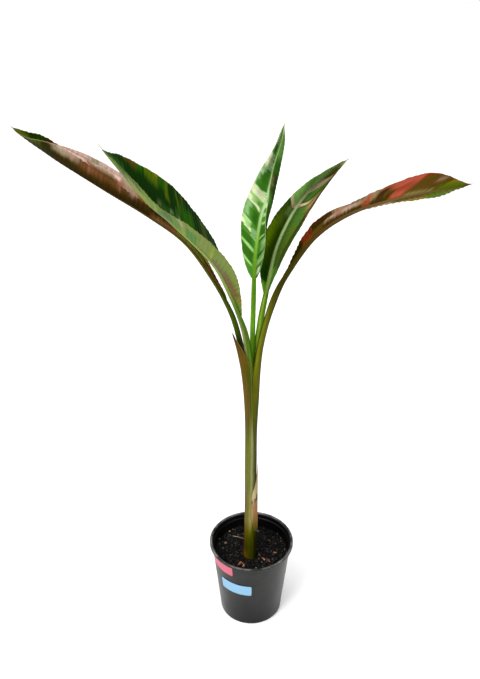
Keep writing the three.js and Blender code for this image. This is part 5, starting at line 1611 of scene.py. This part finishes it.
dry_skin = stalk_skin("dry_sheath_skin", 0.55, 0.04, 0.4)
for seed, (name, sheath) in enumerate(OLD_SHEATHS.items()):
    outside, turn, distance, edge = sheath_surface(sheath, sheath["thickness"])
    inside = sheath_surface(sheath, 0)[0]
    points, faces = closed_sheet(outside, inside)
    shell = add_piece(name + "_shell", points, faces, dry_skin, sheath["slot"], name)
    height = outside[..., 2]
    shades = by_height(sheath["heights"], sheath["colours"], height)
    shades = striped(name, shades, np.degrees(turn), height)
    last_edge = np.linspace(0, 1, SHEATH_COLUMNS) > 0.5
    dry_edge = 0.5 * (1 - smooth(edge * 4)) * last_edge * smooth((height - DRY_FROM) / DRY_OVER)
    shades = laid_over(shades, dry_edge, pigment(DRY_EDGE))
    burnt = 0.9 * smooth((height - outside[-1, 0, 2] + BURNT_DEPTH) / 6)
    shades = laid_over(shades, burnt, pigment(BURNT)).reshape(-1, 3)
    own = np.full(turn.shape, SHEATHS_APART + seed)
    grain = np.stack([turn * 10, distance, own], axis=-1).reshape(-1, 3)
    give(shell, "grain", np.concatenate([grain, grain]))
    give(shell, "paint", np.concatenate([shades, shades]))

# %% [markdown]
# ## Floor and light
#
# The plant stands on a plain pale floor. A broad high sun lamp, like a skylight, lights floor and
# leaves evenly, a large lamp at the upper left gives the soft streaks on the plastic and the leaves,
# a weaker one fills in from the right, and a dim sky fills the shadows. A bright sky alone would be
# simpler, but it mirrors in every dark surface and turns black plastic and deep green to grey.

# %% Floor and light
FLOOR_SIZE = 30  # metres

floor_mesh = bpy.data.meshes.new("floor")
reach = FLOOR_SIZE / 2
under = -0.3 * MM  # a hair below the pot, so the two faces don't flicker
corners = [(-reach, -reach, under), (reach, -reach, under), (reach, reach, under), (-reach, reach, under)]
floor_mesh.from_pydata(corners, [], [(0, 1, 2, 3)])
pale_floor = Finish("pale_floor", Roughness=0.9, Specular_IOR_Level=0.1)
pale_floor.shader.inputs["Base Color"].default_value = (0.95, 0.95, 0.95, 1)
floor_mesh.materials.append(pale_floor.material)
floor = bpy.data.objects.new("floor", floor_mesh)
scene.collection.objects.link(floor)
floor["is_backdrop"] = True

sky = bpy.data.worlds.new("studio")
scene.world = sky
sky.use_nodes = True
sky.node_tree.nodes["Background"].inputs["Color"].default_value = (1.0, 1.0, 1.0, 1)
sky.node_tree.nodes["Background"].inputs["Strength"].default_value = 0.35


def turned_from(away):
    """The turn that points a lamp along the way from its place to its target."""
    away = np.array(away, float)
    return (math.acos(away[2] / np.linalg.norm(away)), 0, math.atan2(away[1], away[0]) + math.pi / 2)


def lamp(name, place, target, size, power):
    """A square area light at a place, facing a target, with its size in metres and power in watts."""
    light = bpy.data.lights.new(name, "AREA")
    light.size = size
    light.energy = power
    lit = bpy.data.objects.new(name, light)
    scene.collection.objects.link(lit)
    lit.location = place
    lit.rotation_euler = turned_from(np.subtract(place, target))
    return lit


skylight = bpy.data.lights.new("skylight", "SUN")
skylight.energy = 2.4
skylight.angle = math.radians(80)
high = bpy.data.objects.new("skylight", skylight)
scene.collection.objects.link(high)
high.rotation_euler = turned_from((-0.35, -0.3, 1.0))

MIDDLE = (0, 0, 0.45)
lamp("key", (-1.3, -1.7, 2.1), MIDDLE, 1.0, 44)
lamp("fill", (1.7, -1.2, 1.3), MIDDLE, 0.8, 14)
lamp("back", (0.5, 1.8, 1.9), MIDDLE, 0.9, 14)

# %% [markdown]
# ## Sizes
#
# The dressed plant has to stay within the CAD model's box, so both boxes are written side by side
# before the last check of the frame.

dressed_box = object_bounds()
for word, corner, dressed in zip(("lowest", "highest"), cad_box, dressed_box):
    print(word, [round(v * 1000, 1) for v in corner], "dressed", [round(v * 1000, 1) for v in dressed])
